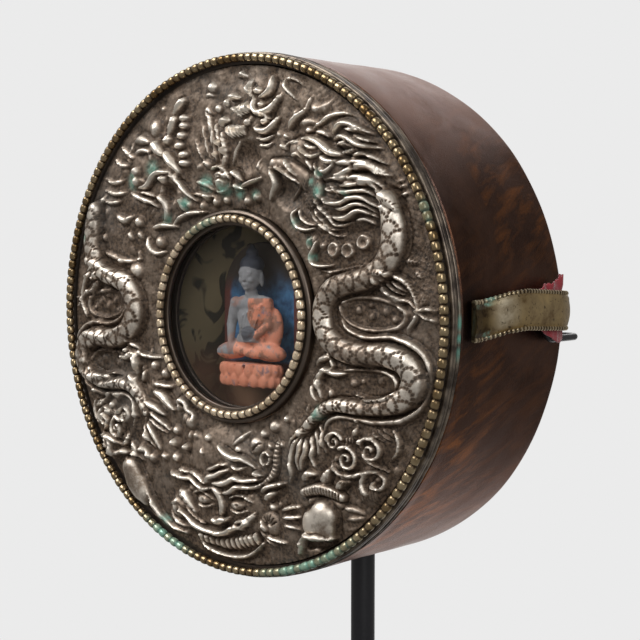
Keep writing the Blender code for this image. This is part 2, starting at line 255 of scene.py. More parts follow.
class Nodes:
    """Short names for building one material's nodes."""

    def __init__(self, name):
        self.material = bpy.data.materials.new(name)
        self.material.use_nodes = True
        self.tree = self.material.node_tree
        self.shader = self.tree.nodes["Principled BSDF"]
        self.where = self.add("ShaderNodeTexCoord").outputs["Object"]

    def add(self, kind, **settings):
        node = self.tree.nodes.new(kind)
        for key, value in settings.items():
            setattr(node, key, value)
        return node

    def put(self, value, socket):
        """Link a node's output to a socket, or set the socket to a plain value."""
        if isinstance(value, bpy.types.NodeSocket):
            self.tree.links.new(value, socket)
        elif isinstance(value, tuple) and len(value) == 3 and socket.type == "RGBA":
            socket.default_value = (*value, 1.0)
        else:
            socket.default_value = value

    def noise(self, scale, detail=4.0, rough=0.55, stretch=(1.0, 1.0, 1.0), twist=0.0):
        """Noise from 0 to 1, mostly between 0.3 and 0.7."""
        place = self.add("ShaderNodeMapping")
        self.put(self.where, place.inputs["Vector"])
        self.put(stretch, place.inputs["Scale"])
        made = self.add("ShaderNodeTexNoise")
        self.put(place.outputs["Vector"], made.inputs["Vector"])
        self.put(scale, made.inputs["Scale"])
        self.put(detail, made.inputs["Detail"])
        self.put(rough, made.inputs["Roughness"])
        self.put(twist, made.inputs["Distortion"])
        return made.outputs["Fac"]

    def attribute(self, name):
        """A number that paint() left on the mesh."""
        return self.add("ShaderNodeAttribute", attribute_name=name).outputs["Fac"]

    def band(self, value, low, high, out_low=0.0, out_high=1.0):
        """The value's place between low and high, as a number from out_low to out_high."""
        made = self.add("ShaderNodeMapRange")
        for socket, number in zip(made.inputs, (value, low, high, out_low, out_high)):
            self.put(number, socket)
        return made.outputs["Result"]

    def maths(self, kind, a, b):
        made = self.add("ShaderNodeMath", operation=kind)
        made.use_clamp = kind != "SUBTRACT"
        self.put(a, made.inputs[0])
        self.put(b, made.inputs[1])
        return made.outputs["Value"]

    def mix(self, amount, low, high):
        made = self.add("ShaderNodeMix", data_type="RGBA")
        self.put(amount, made.inputs["Factor"])
        self.put(low, made.inputs["A"])
        self.put(high, made.inputs["B"])
        return made.outputs[2]

    def bump(self, height, strength, distance):
        made = self.add("ShaderNodeBump")
        self.put(strength, made.inputs["Strength"])
        self.put(distance, made.inputs["Distance"])
        self.put(height, made.inputs["Height"])
        return made.outputs["Normal"]

    def set(self, **values):
        for key, value in values.items():
            self.put(value, self.shader.inputs[key.replace("_", " ")])
        return self.material


# Colours are linear red, green and blue. A pair runs from the darker to the paler.
VERDIGRIS = (0.16, 0.36, 0.28)
BEAD_VERDIGRIS = (0.20, 0.40, 0.31)
RIM_VERDIGRIS = (0.12, 0.38, 0.30)
LOOP_VERDIGRIS = (0.22, 0.46, 0.37)

# The darkest tone is dirt in the hollows, and also painted shade where the plate is darkened.
PLATE_DIRT_AND_SHADE = (0.026, 0.017, 0.011), (0.150, 0.102, 0.068)
PLATE_PATINA = (0.180, 0.130, 0.094), (0.35, 0.280, 0.22)
# Rubbed silver on the tops, and also painted highlights.
RUBBED_SILVER_AND_HIGHLIGHT = (0.88, 0.80, 0.70)
SILVER_TARNISH = (0.13, 0.125, 0.115)


def plate_look():
    """Worn silver-coloured sheet: dark brown dirt in the hollows, rubbed bright on the tops, with
    painted highlights and painted shade carried in the same number.
    """
    n = Nodes("embossed_silver")
    raised = n.attribute("raised")
    green = n.attribute("green")
    grime = n.noise(560.0, 7.0, 0.72)
    grain = n.noise(1500.0, 3.0, 0.6)
    patch = n.noise(70.0, 3.0)
    worn = n.maths("ADD", raised, n.band(grime, 0.3, 0.7, -0.26, 0.24))
    dirt = n.mix(n.band(grain, 0.35, 0.65), *PLATE_DIRT_AND_SHADE)
    patina = n.mix(patch, *PLATE_PATINA)
    # Low numbers go dark and high ones bright: dirt and wear, with painted shade and painted
    # highlights among them.
    colour = n.mix(n.band(worn, 0.05, 0.46), dirt, patina)
    colour = n.mix(n.band(worn, 0.50, 1.0), colour, RUBBED_SILVER_AND_HIGHLIGHT)
    tarnish = n.band(n.noise(38.0, 4.0, 0.6), 0.52, 0.70, 0.0, 0.35)
    colour = n.mix(tarnish, colour, SILVER_TARNISH)
    stained = n.maths("MULTIPLY", green, n.band(grime, 0.36, 0.60, 0.15, 1.0))
    colour = n.mix(stained, colour, VERDIGRIS)
    metal = n.band(worn, 0.1, 0.6, 0.50, 0.97)
    return n.set(
        Base_Color=colour,
        Metallic=n.maths("SUBTRACT", metal, n.band(stained, 0.0, 0.6, 0.0, 0.75)),
        Roughness=n.band(worn, 0.15, 0.95, 0.58, 0.44),
        Normal=n.bump(grime, 0.55, 0.00025),
    )


BEAD_DIRT = (0.070, 0.047, 0.028)
OUTER_BRASS = (0.20, 0.125, 0.052), (0.50, 0.40, 0.25)
# Pale brass for the window beads, made paler as a painted highlight for the light that falls on
# them.
WINDOW_BRASS_AND_HIGHLIGHT = (0.42, 0.31, 0.19), (0.90, 0.74, 0.54)


def bead_look(name, brass, metal):
    """Beads with dirt between them. The brass is a pair of colours, in patches."""
    n = Nodes(name)
    top = n.attribute("raised")
    green = n.attribute("green")
    wear = n.noise(900.0, 4.0)
    patch = n.noise(150.0, 3.0)
    rubbed = n.mix(n.band(patch, 0.35, 0.65), *brass)
    shown = n.maths("ADD", top, n.band(wear, 0.3, 0.7, -0.22, 0.22))
    colour = n.mix(n.band(shown, 0.35, 0.85), BEAD_DIRT, rubbed)
    stained = n.maths("MULTIPLY", green, n.band(patch, 0.34, 0.52, 0.25, 1.0))
    colour = n.mix(stained, colour, BEAD_VERDIGRIS)
    return n.set(
        Base_Color=colour,
        Metallic=n.band(green, 0.0, 0.7, metal, 0.3),
        Roughness=n.band(shown, 0.2, 0.9, 0.5, 0.27),
        Normal=n.bump(wear, 0.30, 0.00015),
    )


DARK_METAL = (0.045, 0.034, 0.028), (0.11, 0.088, 0.073)
RIM_EDGE = (0.33, 0.27, 0.21)
COLLAR_METAL = (0.060, 0.046, 0.037), (0.20, 0.16, 0.13)


def dark_rim_look():
    """Nearly black metal, brighter on its worn edges."""
    n = Nodes("dark_rim")
    edge = n.attribute("raised")
    green = n.attribute("green")
    wear = n.noise(300.0, 5.0)
    colour = n.mix(n.noise(45.0, 3.0), *DARK_METAL)
    bright = n.maths("MULTIPLY", edge, n.band(wear, 0.38, 0.62))
    colour = n.mix(bright, colour, RIM_EDGE)
    colour = n.mix(green, colour, RIM_VERDIGRIS)
    return n.set(
        Base_Color=colour,
        Metallic=n.band(green, 0.0, 0.6, 0.9, 0.1),
        Roughness=n.band(wear, 0.3, 0.7, 0.30, 0.48),
        Normal=n.bump(wear, 0.12, 0.0002),
    )


def collar_look():
    """The collar's smoother dark metal."""
    n = Nodes("window_collar")
    wear = n.noise(260.0, 5.0)
    colour = n.mix(n.noise(60.0, 3.0), *COLLAR_METAL)
    return n.set(
        Base_Color=colour,
        Metallic=0.95,
        Roughness=n.band(wear, 0.3, 0.7, 0.32, 0.5),
        Normal=n.bump(wear, 0.1, 0.0002),
    )


COPPER_BROWN = (0.036, 0.017, 0.011), (0.118, 0.062, 0.043)
# A pale tone in patches on the upper right of the wall: a painted sheen.
COPPER_PAINTED_SHEEN = (0.33, 0.24, 0.215)
COPPER_ORANGE = (0.44, 0.155, 0.038)
COPPER_SCRATCH = (0.045, 0.030, 0.024)
COPPER_SOOT = (0.018, 0.014, 0.013)
COPPER_SHEEN = (0.85, 0.74, 0.71), (1.0, 0.94, 0.94)


def copper_look():
    """Brown copper, mottled, with orange-brown rubbed streaks, and pale mottled patches towards
    the upper right that are a painted sheen.

    The wall's attributes give a place on it unrolled, and the soot round the loops' feet.
    """
    n = Nodes("copper")
    place = n.add("ShaderNodeCombineXYZ")
    n.put(n.attribute("around"), place.inputs["X"])
    n.put(n.attribute("depth"), place.inputs["Y"])
    warm = n.attribute("warm")
    soot = n.attribute("soot")
    mottled = n.noise(42.0, 8.0, 0.66, twist=0.5)
    patch = n.noise(24.0, 7.0, 0.66, twist=0.5)
    n.where = place.outputs["Vector"]
    streak = n.noise(1.0, 6.0, 0.62, stretch=(0.30, 0.085, 1.0), twist=0.5)
    scratch = n.noise(1.0, 5.0, 0.7, stretch=(0.25, 2.2, 1.0))
    fine = n.noise(2.0, 5.0, 0.65)
    colour = n.mix(n.band(mottled, 0.33, 0.67), *COPPER_BROWN)
    # Pale patches, kept to the upper right of the wall: a painted sheen, which also tints the
    # reflection and roughens it.
    painted_sheen = n.maths("MULTIPLY", n.band(patch, 0.46, 0.52), n.band(fine, 0.38, 0.55, 0.4, 1.0))
    painted_sheen = n.maths("MULTIPLY", painted_sheen, n.band(n.attribute("around"), 20, 60, 0.05, 1.0))
    colour = n.mix(n.maths("MULTIPLY", painted_sheen, 0.75), colour, COPPER_PAINTED_SHEEN)
    worn = n.maths("MULTIPLY", n.band(streak, 0.47, 0.68), warm)
    worn = n.maths("MULTIPLY", worn, n.band(fine, 0.35, 0.65, 0.35, 1.0))
    colour = n.mix(worn, colour, COPPER_ORANGE)
    colour = n.mix(n.band(scratch, 0.60, 0.72, 0.0, 0.35), colour, COPPER_SCRATCH)
    dark = n.maths("MULTIPLY", soot, n.band(fine, 0.3, 0.6, 0.6, 1.0))
    colour = n.mix(dark, colour, COPPER_SOOT)
    return n.set(
        Base_Color=colour,
        Metallic=0.98,
        Specular_Tint=n.mix(painted_sheen, *COPPER_SHEEN),
        Roughness=n.maths("ADD", n.band(mottled, 0.35, 0.65, 0.28, 0.40),
                          n.band(painted_sheen, 0, 1, 0, 0.14)),
        Normal=n.bump(fine, 0.30, 0.0003),
    )


LOOP_BRASS = (0.20, 0.120, 0.042), (0.54, 0.375, 0.150)
# Rubbed brass on the wires' crests, and a painted highlight across the bend.
LOOP_RUBBED_AND_HIGHLIGHT = (0.80, 0.70, 0.52)
LOOP_SPECK = (0.06, 0.042, 0.025)
LOOP_DIRT = (0.026, 0.017, 0.013)


def loop_look():
    """Brown brass: a painted highlight on the bend, small dark pits, and verdigris at the front
    corners.
    """
    n = Nodes("loop_brass")
    top = n.attribute("raised")
    green = n.attribute("green")
    dirt = n.attribute("dirt")
    wear = n.noise(220.0, 6.0, 0.65)
    speck = n.noise(1100.0, 3.0)
    colour = n.mix(n.band(wear, 0.35, 0.68), *LOOP_BRASS)
    # The bend's painted highlight, and the wires' rubbed crests.
    rubbed = n.maths("MULTIPLY", top, n.band(wear, 0.25, 0.5))
    colour = n.mix(rubbed, colour, LOOP_RUBBED_AND_HIGHLIGHT)
    colour = n.mix(n.band(speck, 0.60, 0.68, 0.0, 0.75), colour, LOOP_SPECK)
    dirty = n.maths("MULTIPLY", dirt, n.band(wear, 0.30, 0.55, 1.0, 0.75))
    colour = n.mix(dirty, colour, LOOP_DIRT)
    stained = n.maths("MULTIPLY", green, n.band(wear, 0.47, 0.55))
    colour = n.mix(stained, colour, LOOP_VERDIGRIS)
    return n.set(
        Base_Color=colour,
        Metallic=n.band(green, 0.0, 0.6, 0.95, 0.3),
        Roughness=n.band(wear, 0.3, 0.7, 0.27, 0.44),
        Normal=n.bump(wear, 0.15, 0.0002),
    )


BLACK_PAINT = (0.010, 0.010, 0.013), (0.020, 0.020, 0.025)


def black_look(name, rough):
    """Satin black paint, with its roughness as a pair."""
    n = Nodes(name)
    grain = n.noise(1400.0, 3.0)
    colour = n.mix(grain, *BLACK_PAINT)
    return n.set(
        Base_Color=colour,
        Roughness=n.band(grain, 0.3, 0.7, *rough),
        Normal=n.bump(grain, 0.08, 0.0001),
    )


CLAY_GREY = (0.11, 0.115, 0.125), (0.36, 0.36, 0.37)
CLAY_STAIN = (0.30, 0.15, 0.11)
ROBE_ORANGE = (0.50, 0.13, 0.055), (0.80, 0.36, 0.24)
ROBE_BROWN = (0.20, 0.105, 0.07)
ROBE_BLUE = (0.10, 0.12, 0.20)
HAIR_BLUE = (0.014, 0.020, 0.036)
LOTUS_ORANGE = (0.46, 0.12, 0.055), (0.74, 0.33, 0.21)
LOTUS_CHIP = (0.17, 0.14, 0.12)
LOTUS_BLUE = (0.13, 0.13, 0.17)
AUREOLE_BLUE = (0.022, 0.070, 0.160), (0.080, 0.240, 0.460)
AUREOLE_RED = (0.07, 0.016, 0.014), (0.17, 0.045, 0.032)
AUREOLE_DARKER_TOP = (0.03, 0.022, 0.016), (0.08, 0.055, 0.04)


def clay_look():
    """Clay worn to grey, with painted areas that the attributes pick out."""
    n = Nodes("painted_clay")
    robe = n.attribute("robe")
    hair = n.attribute("hair")
    wear = n.noise(650.0, 6.0, 0.65)
    patch = n.noise(210.0, 4.0)
    rubbed = n.noise(330.0, 4.0, 0.6)
    skin = n.mix(wear, *CLAY_GREY)
    stained = n.maths("MULTIPLY", n.attribute("torso"), n.band(patch, 0.52, 0.60, 0.0, 0.7))
    skin = n.mix(stained, skin, CLAY_STAIN)
    orange = n.mix(patch, *ROBE_ORANGE)
    orange = n.mix(n.band(rubbed, 0.50, 0.58, 0.0, 0.8), orange, ROBE_BROWN)
    orange = n.mix(n.band(n.noise(150.0, 5.0), 0.57, 0.62, 0.0, 0.8), orange, ROBE_BLUE)
    chipped = n.maths("MULTIPLY", robe, n.band(wear, 0.30, 0.42))
    colour = n.mix(chipped, skin, orange)
    colour = n.mix(hair, colour, HAIR_BLUE)
    return n.set(
        Base_Color=colour,
        Roughness=n.band(wear, 0.3, 0.7, 0.55, 0.8),
        Normal=n.bump(wear, 0.25, 0.00012),
    )


def lotus_look():
    """Orange paint, chipped and rubbed."""
    n = Nodes("painted_lotus")
    wear = n.noise(500.0, 6.0, 0.65)
    rubbed = n.noise(260.0, 4.0, 0.6)
    colour = n.mix(n.noise(180.0, 3.0), *LOTUS_ORANGE)
    colour = n.mix(n.band(wear, 0.58, 0.7, 0.0, 0.8), colour, LOTUS_CHIP)
    colour = n.mix(n.band(rubbed, 0.57, 0.64, 0.0, 0.7), colour, LOTUS_BLUE)
    return n.set(Base_Color=colour, Roughness=n.band(wear, 0.3, 0.7, 0.6, 0.85),
                 Normal=n.bump(wear, 0.25, 0.00012))


def aureole_look():
    """Blue with a red rim, darker towards the top."""
    n = Nodes("painted_aureole")
    rim = n.attribute("rim")
    wear = n.noise(420.0, 5.0)
    blue = n.mix(n.band(wear, 0.35, 0.65), *AUREOLE_BLUE)
    red = n.mix(wear, *AUREOLE_RED)
    painted = n.mix(rim, blue, red)
    colour = n.mix(n.attribute("fade"), painted, n.mix(wear, *AUREOLE_DARKER_TOP))
    return n.set(Base_Color=colour,
                 Roughness=n.band(wear, 0.3, 0.7, 0.6, 0.85),
                 Normal=n.bump(wear, 0.15, 0.0001))


PAPER = (0.16, 0.125, 0.065), (0.40, 0.32, 0.18)
PAPER_BLOT = (0.018, 0.018, 0.014)
PAPER_LOW_TONE = (0.26, 0.125, 0.070)
# Where the paper turns orange-brown towards the bottom, down from none to most.
LOW_TONE_TOP, LOW_TONE_BOTTOM = AXIS_Z - 7 * MM, AXIS_Z - 15 * MM
CLOTH_RED = (0.26, 0.020, 0.030), (0.42, 0.045, 0.060)
CLOTH_THREADS = 900.0
ZINC = (0.38, 0.38, 0.38), (0.6, 0.6, 0.6)


def paper_look():
    """Aged paper with dark blotches that mean nothing."""
    n = Nodes("printed_paper")
    tone = n.noise(60.0, 5.0, 0.6)
    blot = n.noise(120.0, 2.0, 0.4, twist=1.2)
    fibre = n.noise(900.0, 4.0)
    colour = n.mix(tone, *PAPER)
    colour = n.mix(n.band(blot, 0.56, 0.62, 0.0, 0.9), colour, PAPER_BLOT)
    place = n.add("ShaderNodeSeparateXYZ")
    n.put(n.where, place.inputs["Vector"])
    foot = n.band(place.outputs["Z"], LOW_TONE_BOTTOM, LOW_TONE_TOP, 0.85, 0.0)
    stained = n.maths("MULTIPLY", foot, n.band(tone, 0.35, 0.6, 0.5, 1.0))
    colour = n.mix(stained, colour, PAPER_LOW_TONE)
    return n.set(Base_Color=colour, Roughness=0.85, Normal=n.bump(fibre, 0.2, 0.0001))


def cloth_look():
    """Red cloth with fine threads both ways."""
    n = Nodes("red_cloth")
    waves = []
    for direction in ("Z", "Y"):
        wave = n.add("ShaderNodeTexWave", wave_type="BANDS", bands_direction=direction)
        n.put(n.where, wave.inputs["Vector"])
        n.put(CLOTH_THREADS, wave.inputs["Scale"])
        waves.append(wave.outputs["Fac"])
    threads = n.maths("MULTIPLY", *waves)
    colour = n.mix(n.noise(300.0, 4.0), *CLOTH_RED)
    return n.set(Base_Color=colour, Roughness=0.9, Sheen_Weight=0.4,
                 Normal=n.bump(threads, 0.4, 0.0001))


def glass_look():
    """A thin smeared pane."""
    n = Nodes("window_glass")
    smear = n.noise(90.0, 3.0)
    return n.set(Base_Color=(0.10, 0.09, 0.08), Alpha=0.06,
                 Roughness=n.band(smear, 0.3, 0.7, 0.04, 0.12))


def screw_look():
    n = Nodes("zinc_steel")
    wear = n.noise(900.0, 3.0)
    return n.set(Base_Color=n.mix(wear, *ZINC), Metallic=1.0,
                 Roughness=n.band(wear, 0.3, 0.7, 0.25, 0.4))


# Embossed plate


RINGS = 112
RIGHT_COLUMNS = 545
LEFT_COLUMNS = 320
INNER_EDGE = COLLAR_R + 0.1
# The sheet's surface before embossing, as (radius, height).
CROWN_R = (INNER_EDGE, 32.0, 40.0, 52.0, 56.5, PLATE_R)
CROWN_H = (-0.5, 0.2, 0.4, -0.3, -0.9, -1.0)
# The scales stand in lanes across a body of this half width.
SCALE_PITCH, SCALE_R = 4.3, 2.0
SCALE_LANES, SCALE_BODY = (-2.1, 0.0, 2.1), 2.8
# Between the dots of a scallop, and where its arc ends, in radians.
DOT_STEP, ARC_END = 0.40, 1.25
SCALE_DOT, PUNCH_DOT = 0.27, 0.22
# Further than any dot reaches.
FAR = 9.0


def blur(values, rings, columns):
    """A box blur over the plate's grid, by whole rings and columns."""
    padded = np.pad(values, ((rings, rings), (0, 0)), mode="edge")
    total = np.cumsum(np.vstack([np.zeros((1, padded.shape[1])), padded]), axis=0)
    out = (total[2 * rings + 1:] - total[:-2 * rings - 1]) / (2 * rings + 1)
    wide = np.concatenate([out[:, -columns:], out, out[:, :columns]], axis=1)
    total = np.cumsum(np.hstack([np.zeros((wide.shape[0], 1)), wide]), axis=1)
    return (total[:, 2 * columns + 1:] - total[:, :-2 * columns - 1]) / (2 * columns + 1)


def ripple(x, z, size, seed):
    """Gentle random unevenness: a few sine waves with seeded directions."""
    waves = np.random.default_rng(seed)
    total = np.zeros_like(x)
    for _ in range(9):
        angle, phase = waves.uniform(0, TAU, 2)
        length = size * waves.uniform(0.6, 1.7)
        total += np.sin((x * math.cos(angle) + z * math.sin(angle)) * TAU / length + phase)
    return total / 9


class Relief:
    """The plate's front as heights on a ring-shaped grid, worked by strokes."""

    def __init__(self):
        right = (np.arange(RIGHT_COLUMNS) / RIGHT_COLUMNS - 0.5) * math.pi
        left = (np.arange(LEFT_COLUMNS) / LEFT_COLUMNS + 0.5) * math.pi
        turn = np.concatenate([right, left])
        radius = np.linspace(INNER_EDGE, PLATE_R, RINGS)
        self.radius, self.turn = np.meshgrid(radius, turn, indexing="ij")
        self.x = (self.radius * np.cos(self.turn)).ravel()
        self.z = (self.radius * np.sin(self.turn)).ravel()
        self.ground = np.interp(self.radius.ravel(), CROWN_R, CROWN_H)
        self.height = self.ground.copy()
        # Verdigris, tops brightened as worn silver with a painted highlight, punched dots, places
        # rubbed bright with a painted highlight, and places left darker, partly as painted shade.
        self.green = np.zeros_like(self.height)
        self.bright = np.zeros_like(self.height)
        self.pits = np.zeros_like(self.height)
        self.wear_and_highlight = np.zeros_like(self.height)
        self.dirt = np.zeros_like(self.height)
        self.map = lambda x, z: (x, z)

    def near(self, path, reach):
        """Vertices near a path: their index, distance, signed side and place along it."""
        low, high = path.min(axis=0) - reach, path.max(axis=0) + reach
        index = np.nonzero((self.x > low[0]) & (self.x < high[0])
                           & (self.z > low[1]) & (self.z < high[1]))[0]
        x, z = self.x[index], self.z[index]
        best = np.full(len(index), 1e9)
        side = np.zeros(len(index))
        along = np.zeros(len(index))
        done = 0.0
        for a, b in zip(path, path[1:]):
            step = b - a
            length = math.hypot(*step) + 1e-9
            t = np.clip(((x - a[0]) * step[0] + (z - a[1]) * step[1]) / length ** 2, 0, 1)
            dx, dz = x - a[0] - t * step[0], z - a[1] - t * step[1]
            gap = np.hypot(dx, dz)
            closer = gap < best
            best[closer] = gap[closer]
            turn = (step[0] * dz - step[1] * dx)[closer]
            side[closer] = np.sign(turn) * gap[closer]
            along[closer] = (done + t * length)[closer]
            done += length
        return index, best, side, along, done

    def placed(self, points, steps=6):
        """The points on the side of the plate that is being worked, joined by a curve."""
        points = [(*self.map(p[0], p[1]), *p[2:]) for p in points]
        return smooth_path(points, steps)

    def stroke(self, points, half, rise, power=1.0):
        """A ridge that tapers at both ends, with a fine groove beside it."""
        path = self.placed(points)
        index, gap, _, along, total = self.near(path, half * 1.7)
        taper = np.clip(np.minimum(along / 0.22, (total - along) / 0.45) / total, 0, 1) ** 0.6
        u = gap / (half * (0.25 + 0.75 * taper))
        shape = np.clip(1 - u ** 2, 0, 1) ** power * (0.45 + 0.55 * taper)
        groove = bell(u, 1.25, 0.22) * taper
        self.height[index] += rise * shape - 0.2 * max(rise, 0.0) * groove
        # A raised stroke's top is brightened: worn silver with a painted highlight.
        if rise > 0:
            self.bright[index] = np.maximum(self.bright[index], 0.5 * shape)

    def strokes(self, items):
        """Many strokes, each as (points, half width, rise)."""
        for points, half, rise in items:
            self.stroke(points, half, rise)

    def tube(self, points, rise):
        """A rounded body whose points are (x, z, half width), standing on the ground."""
        path = self.placed(points, 8)
        centre = path[:, :2]
        widest = path[:, 2].max()
        index, gap, side, along, _ = self.near(centre, widest + 0.6)
        lengths = np.concatenate([[0], np.cumsum(np.hypot(*np.diff(centre, axis=0).T))])
        half = np.interp(along, lengths, path[:, 2])
        u = gap / half
        body = np.where(u < 1, rise * np.sqrt(np.clip(1 - u * u, 0, 1)) ** 0.8, -9)
        lip = -0.5 * bell(u, 1.12, 0.14)
        level = self.ground[index] + body * np.minimum(half / 2.4, 1.0) ** 0.5
        self.height[index] = np.where(u < 1, np.maximum(self.height[index], level),
                                      self.height[index] + lip)
        return index, side, along, half, u

    def boss(self, x, z, size, rise, wide=1.0, power=1.0):
        """A rounded lump, or a hollow where rise is negative."""
        x, z = self.map(x, z)
        gap = np.hypot((self.x - x) / wide, self.z - z)
        index = np.nonzero(gap < size)[0]
        self.height[index] += rise * (1 - (gap[index] / size) ** 2) ** power

    def spiral(self, x, z, size, turns, start, half, rise, hand=1.0, inner=0.12):
        """A curl that winds inwards from start, in turns, to its eye."""
        steps = int(14 * turns) + 4
        points = []
        for step in range(steps + 1):
            t = step / steps
            r = size * ((1 - t) + inner * t)
            angle = TAU * (start + hand * turns * t)
            points.append((x + r * math.cos(angle), z + r * math.sin(angle)))
        path = np.array([self.map(*p) for p in points])
        index, gap, _, along, total = self.near(path, half)
        width = half * (1.0 - 0.35 * along / total)
        shape = np.clip(1 - (gap / width) ** 2, 0, 1)
        self.height[index] += rise * shape
        # The curl's top is brightened: worn silver with a painted highlight.
        self.bright[index] = np.maximum(self.bright[index], 0.4 * shape)

    def scales(self, index, side, along, half, u, length):
        """Rows of scallops made of punched dots, in the body's own coordinates."""
        pitch, radius = SCALE_PITCH, SCALE_R
        nearest = np.full(len(index), FAR)
        for lane, offset in enumerate(SCALE_LANES):
            shift = 0.5 * pitch * (lane % 2)
            for step in (0, 1):
                centre = (np.floor((along - shift) / pitch) + step) * pitch + shift
                ds, dt = along - centre, side - offset * half / SCALE_BODY
                reach, angle = np.hypot(ds, dt), np.arctan2(dt, -ds)
                snapped = np.round(angle / DOT_STEP) * DOT_STEP
                gap = np.sqrt(np.maximum(
                    reach ** 2 + radius ** 2 - 2 * reach * radius * np.cos(angle - snapped), 0))
                gap[np.abs(snapped) > ARC_END] = FAR
                nearest = np.minimum(nearest, gap)
        pit = bell(nearest, 0, SCALE_DOT) * (u < 0.93) * (along < length)
        self.height[index] -= 0.3 * pit
        self.pits[index] = np.maximum(self.pits[index], pit)
        # The body's crown between the scales is brightened: a painted highlight.
        self.bright[index] = np.maximum(self.bright[index], 0.7 * np.clip(1.2 - u, 0, 1))

    def patch(self, low, high):
        """The vertices in a rectangle, with a weight for each that fades at the edges."""
        (x0, z0), (x1, z1) = self.map(*low), self.map(*high)
        wide, tall = abs(x1 - x0) / 2, abs(z1 - z0) / 2
        off = np.maximum(np.abs(self.x - (x0 + x1) / 2) / wide,
                         np.abs(self.z - (z0 + z1) / 2) / tall)
        index = np.nonzero(off < 1)[0]
        return index, np.minimum((1 - off[index]) * 3, 1)

    def punch(self, low, high, pitch, depth):
        """Punched texture of staggered dots over a rectangle."""
        index, weight = self.patch(low, high)
        x, z = self.x[index], self.z[index]
        row = np.round(z / pitch)
        shift = 0.5 * (row % 2)
        dx = x - (np.round(x / pitch - shift) + shift) * pitch
        gap = np.hypot(dx, z - row * pitch)
        pit = bell(gap, 0, PUNCH_DOT) * weight
        self.height[index] -= depth * pit
        self.pits[index] = np.maximum(self.pits[index], 0.8 * pit)

    def chase(self, low, high, angle, spacing, depth):
        """Short parallel tool marks over a rectangle, at an angle in degrees."""
        index, weight = self.patch(low, high)
        turn = math.radians(angle)
        across = -self.x[index] * math.sin(turn) + self.z[index] * math.cos(turn)
        along = self.x[index] * math.cos(turn) + self.z[index] * math.sin(turn)
        broken = 0.5 + 0.5 * np.sin(along * 1.9 + 3.0 * np.sin(across * 2.3))
        mark = np.cos(across * TAU / spacing + 0.8 * np.sin(along * 0.8)) * broken
        self.height[index] += depth * mark * weight

    def away(self, x, z, size):
        """Every vertex's distance from a point, in sizes."""
        x, z = self.map(x, z)
        return np.hypot(self.x - x, self.z - z) / size

    def rub_and_highlight(self, x, z, size, amount):
        """Brighten what stands up round a point: rubbed wear with a painted highlight."""
        rubbed = amount * bell(self.away(x, z, size), 0, 1)
        self.wear_and_highlight = np.maximum(self.wear_and_highlight, rubbed)

    def darken_round(self, x, z, size, amount):
        """Darken round a point: in hollows, and in places as painted shade."""
        left = amount * bell(self.away(x, z, size), 0, 1)
        self.dirt = np.maximum(self.dirt, left)

    def stain(self, x, z, size):
        """Put verdigris round a point."""
        patch = np.clip(1.25 - self.away(x, z, size), 0, 1) ** 1.5
        self.green = np.maximum(self.green, patch)


def dragon_body(plate):
    """Coils, with their scales, the ridges beside them and the panels that they enclose."""
    coil = [(46.5, 26, 2.2), (47.4, 21, 2.9), (47.4, 16.5, 3.0), (45.4, 12.4, 2.8),
            (41, 9.6, 2.5), (35.5, 8.4, 2.5), (31, 6.6, 2.8), (28.4, 2.6, 2.9),
            (29.2, -2.4, 2.9), (33.6, -5.8, 2.7), (40, -6.9, 2.6), (46, -6.7, 2.7),
            (51, -8.4, 2.8), (52.8, -12, 3.0), (50.4, -15.8, 2.6), (45, -17.7, 2.0),
            (39, -18.3, 1.8), (33, -18.2, 1.6), (29, -19.3, 1.4), (25.6, -21.9, 1.2),
            (22.8, -24.9, 1.2)]
    index, side, along, half, u = plate.tube(coil, 3.2)
    plate.scales(index, side, along, half, u, 108.0)
    plate.strokes([
        ([(33.4, 0.5), (35.4, -1.8), (41, -3.2), (47, -3.0), (53, -4.8), (56, -8.5),
          (56.4, -13), (54.2, -17.2), (50, -20), (44, -21.2), (38, -20.8), (33, -20.8),
          (29.6, -22.4), (28.6, -26), (29.4, -29)], 1.0, 1.5),
        ([(33, 3.8), (37, 5.2), (43, 5.2), (48.2, 4), (50.2, 1.6), (48.2, -0.8), (43, -1.7),
          (37, -0.9), (33.6, 1.2), (33, 3.8)], 0.7, 0.9),
        ([(34, -10.6), (39, -10.1), (45, -10.2), (48.2, -12.4), (47, -15.2), (42, -16.4),
          (37.4, -15.6)], 0.75, 1.2),
        ([(37.5, -15.6), (40.5, -16.4), (44.6, -16)], 0.55, 0.8),
    ])
    for x, z, size in ((36.8, -13.2, 1.2), (39, -12.6, 0.9), (43.6, -12.4, 1.3), (38, 2.6, 1.2),
                       (41.5, 1.4, 1.3), (45, 2.4, 1.2), (41, 3.8, 0.8), (47.4, 0.8, 0.9)):
        plate.boss(x, z, size, 0.8)
    plate.boss(41, -13, 6.0, -0.7, wide=1.2)
    plate.boss(41.5, 1.6, 6.0, -0.6, wide=1.3)


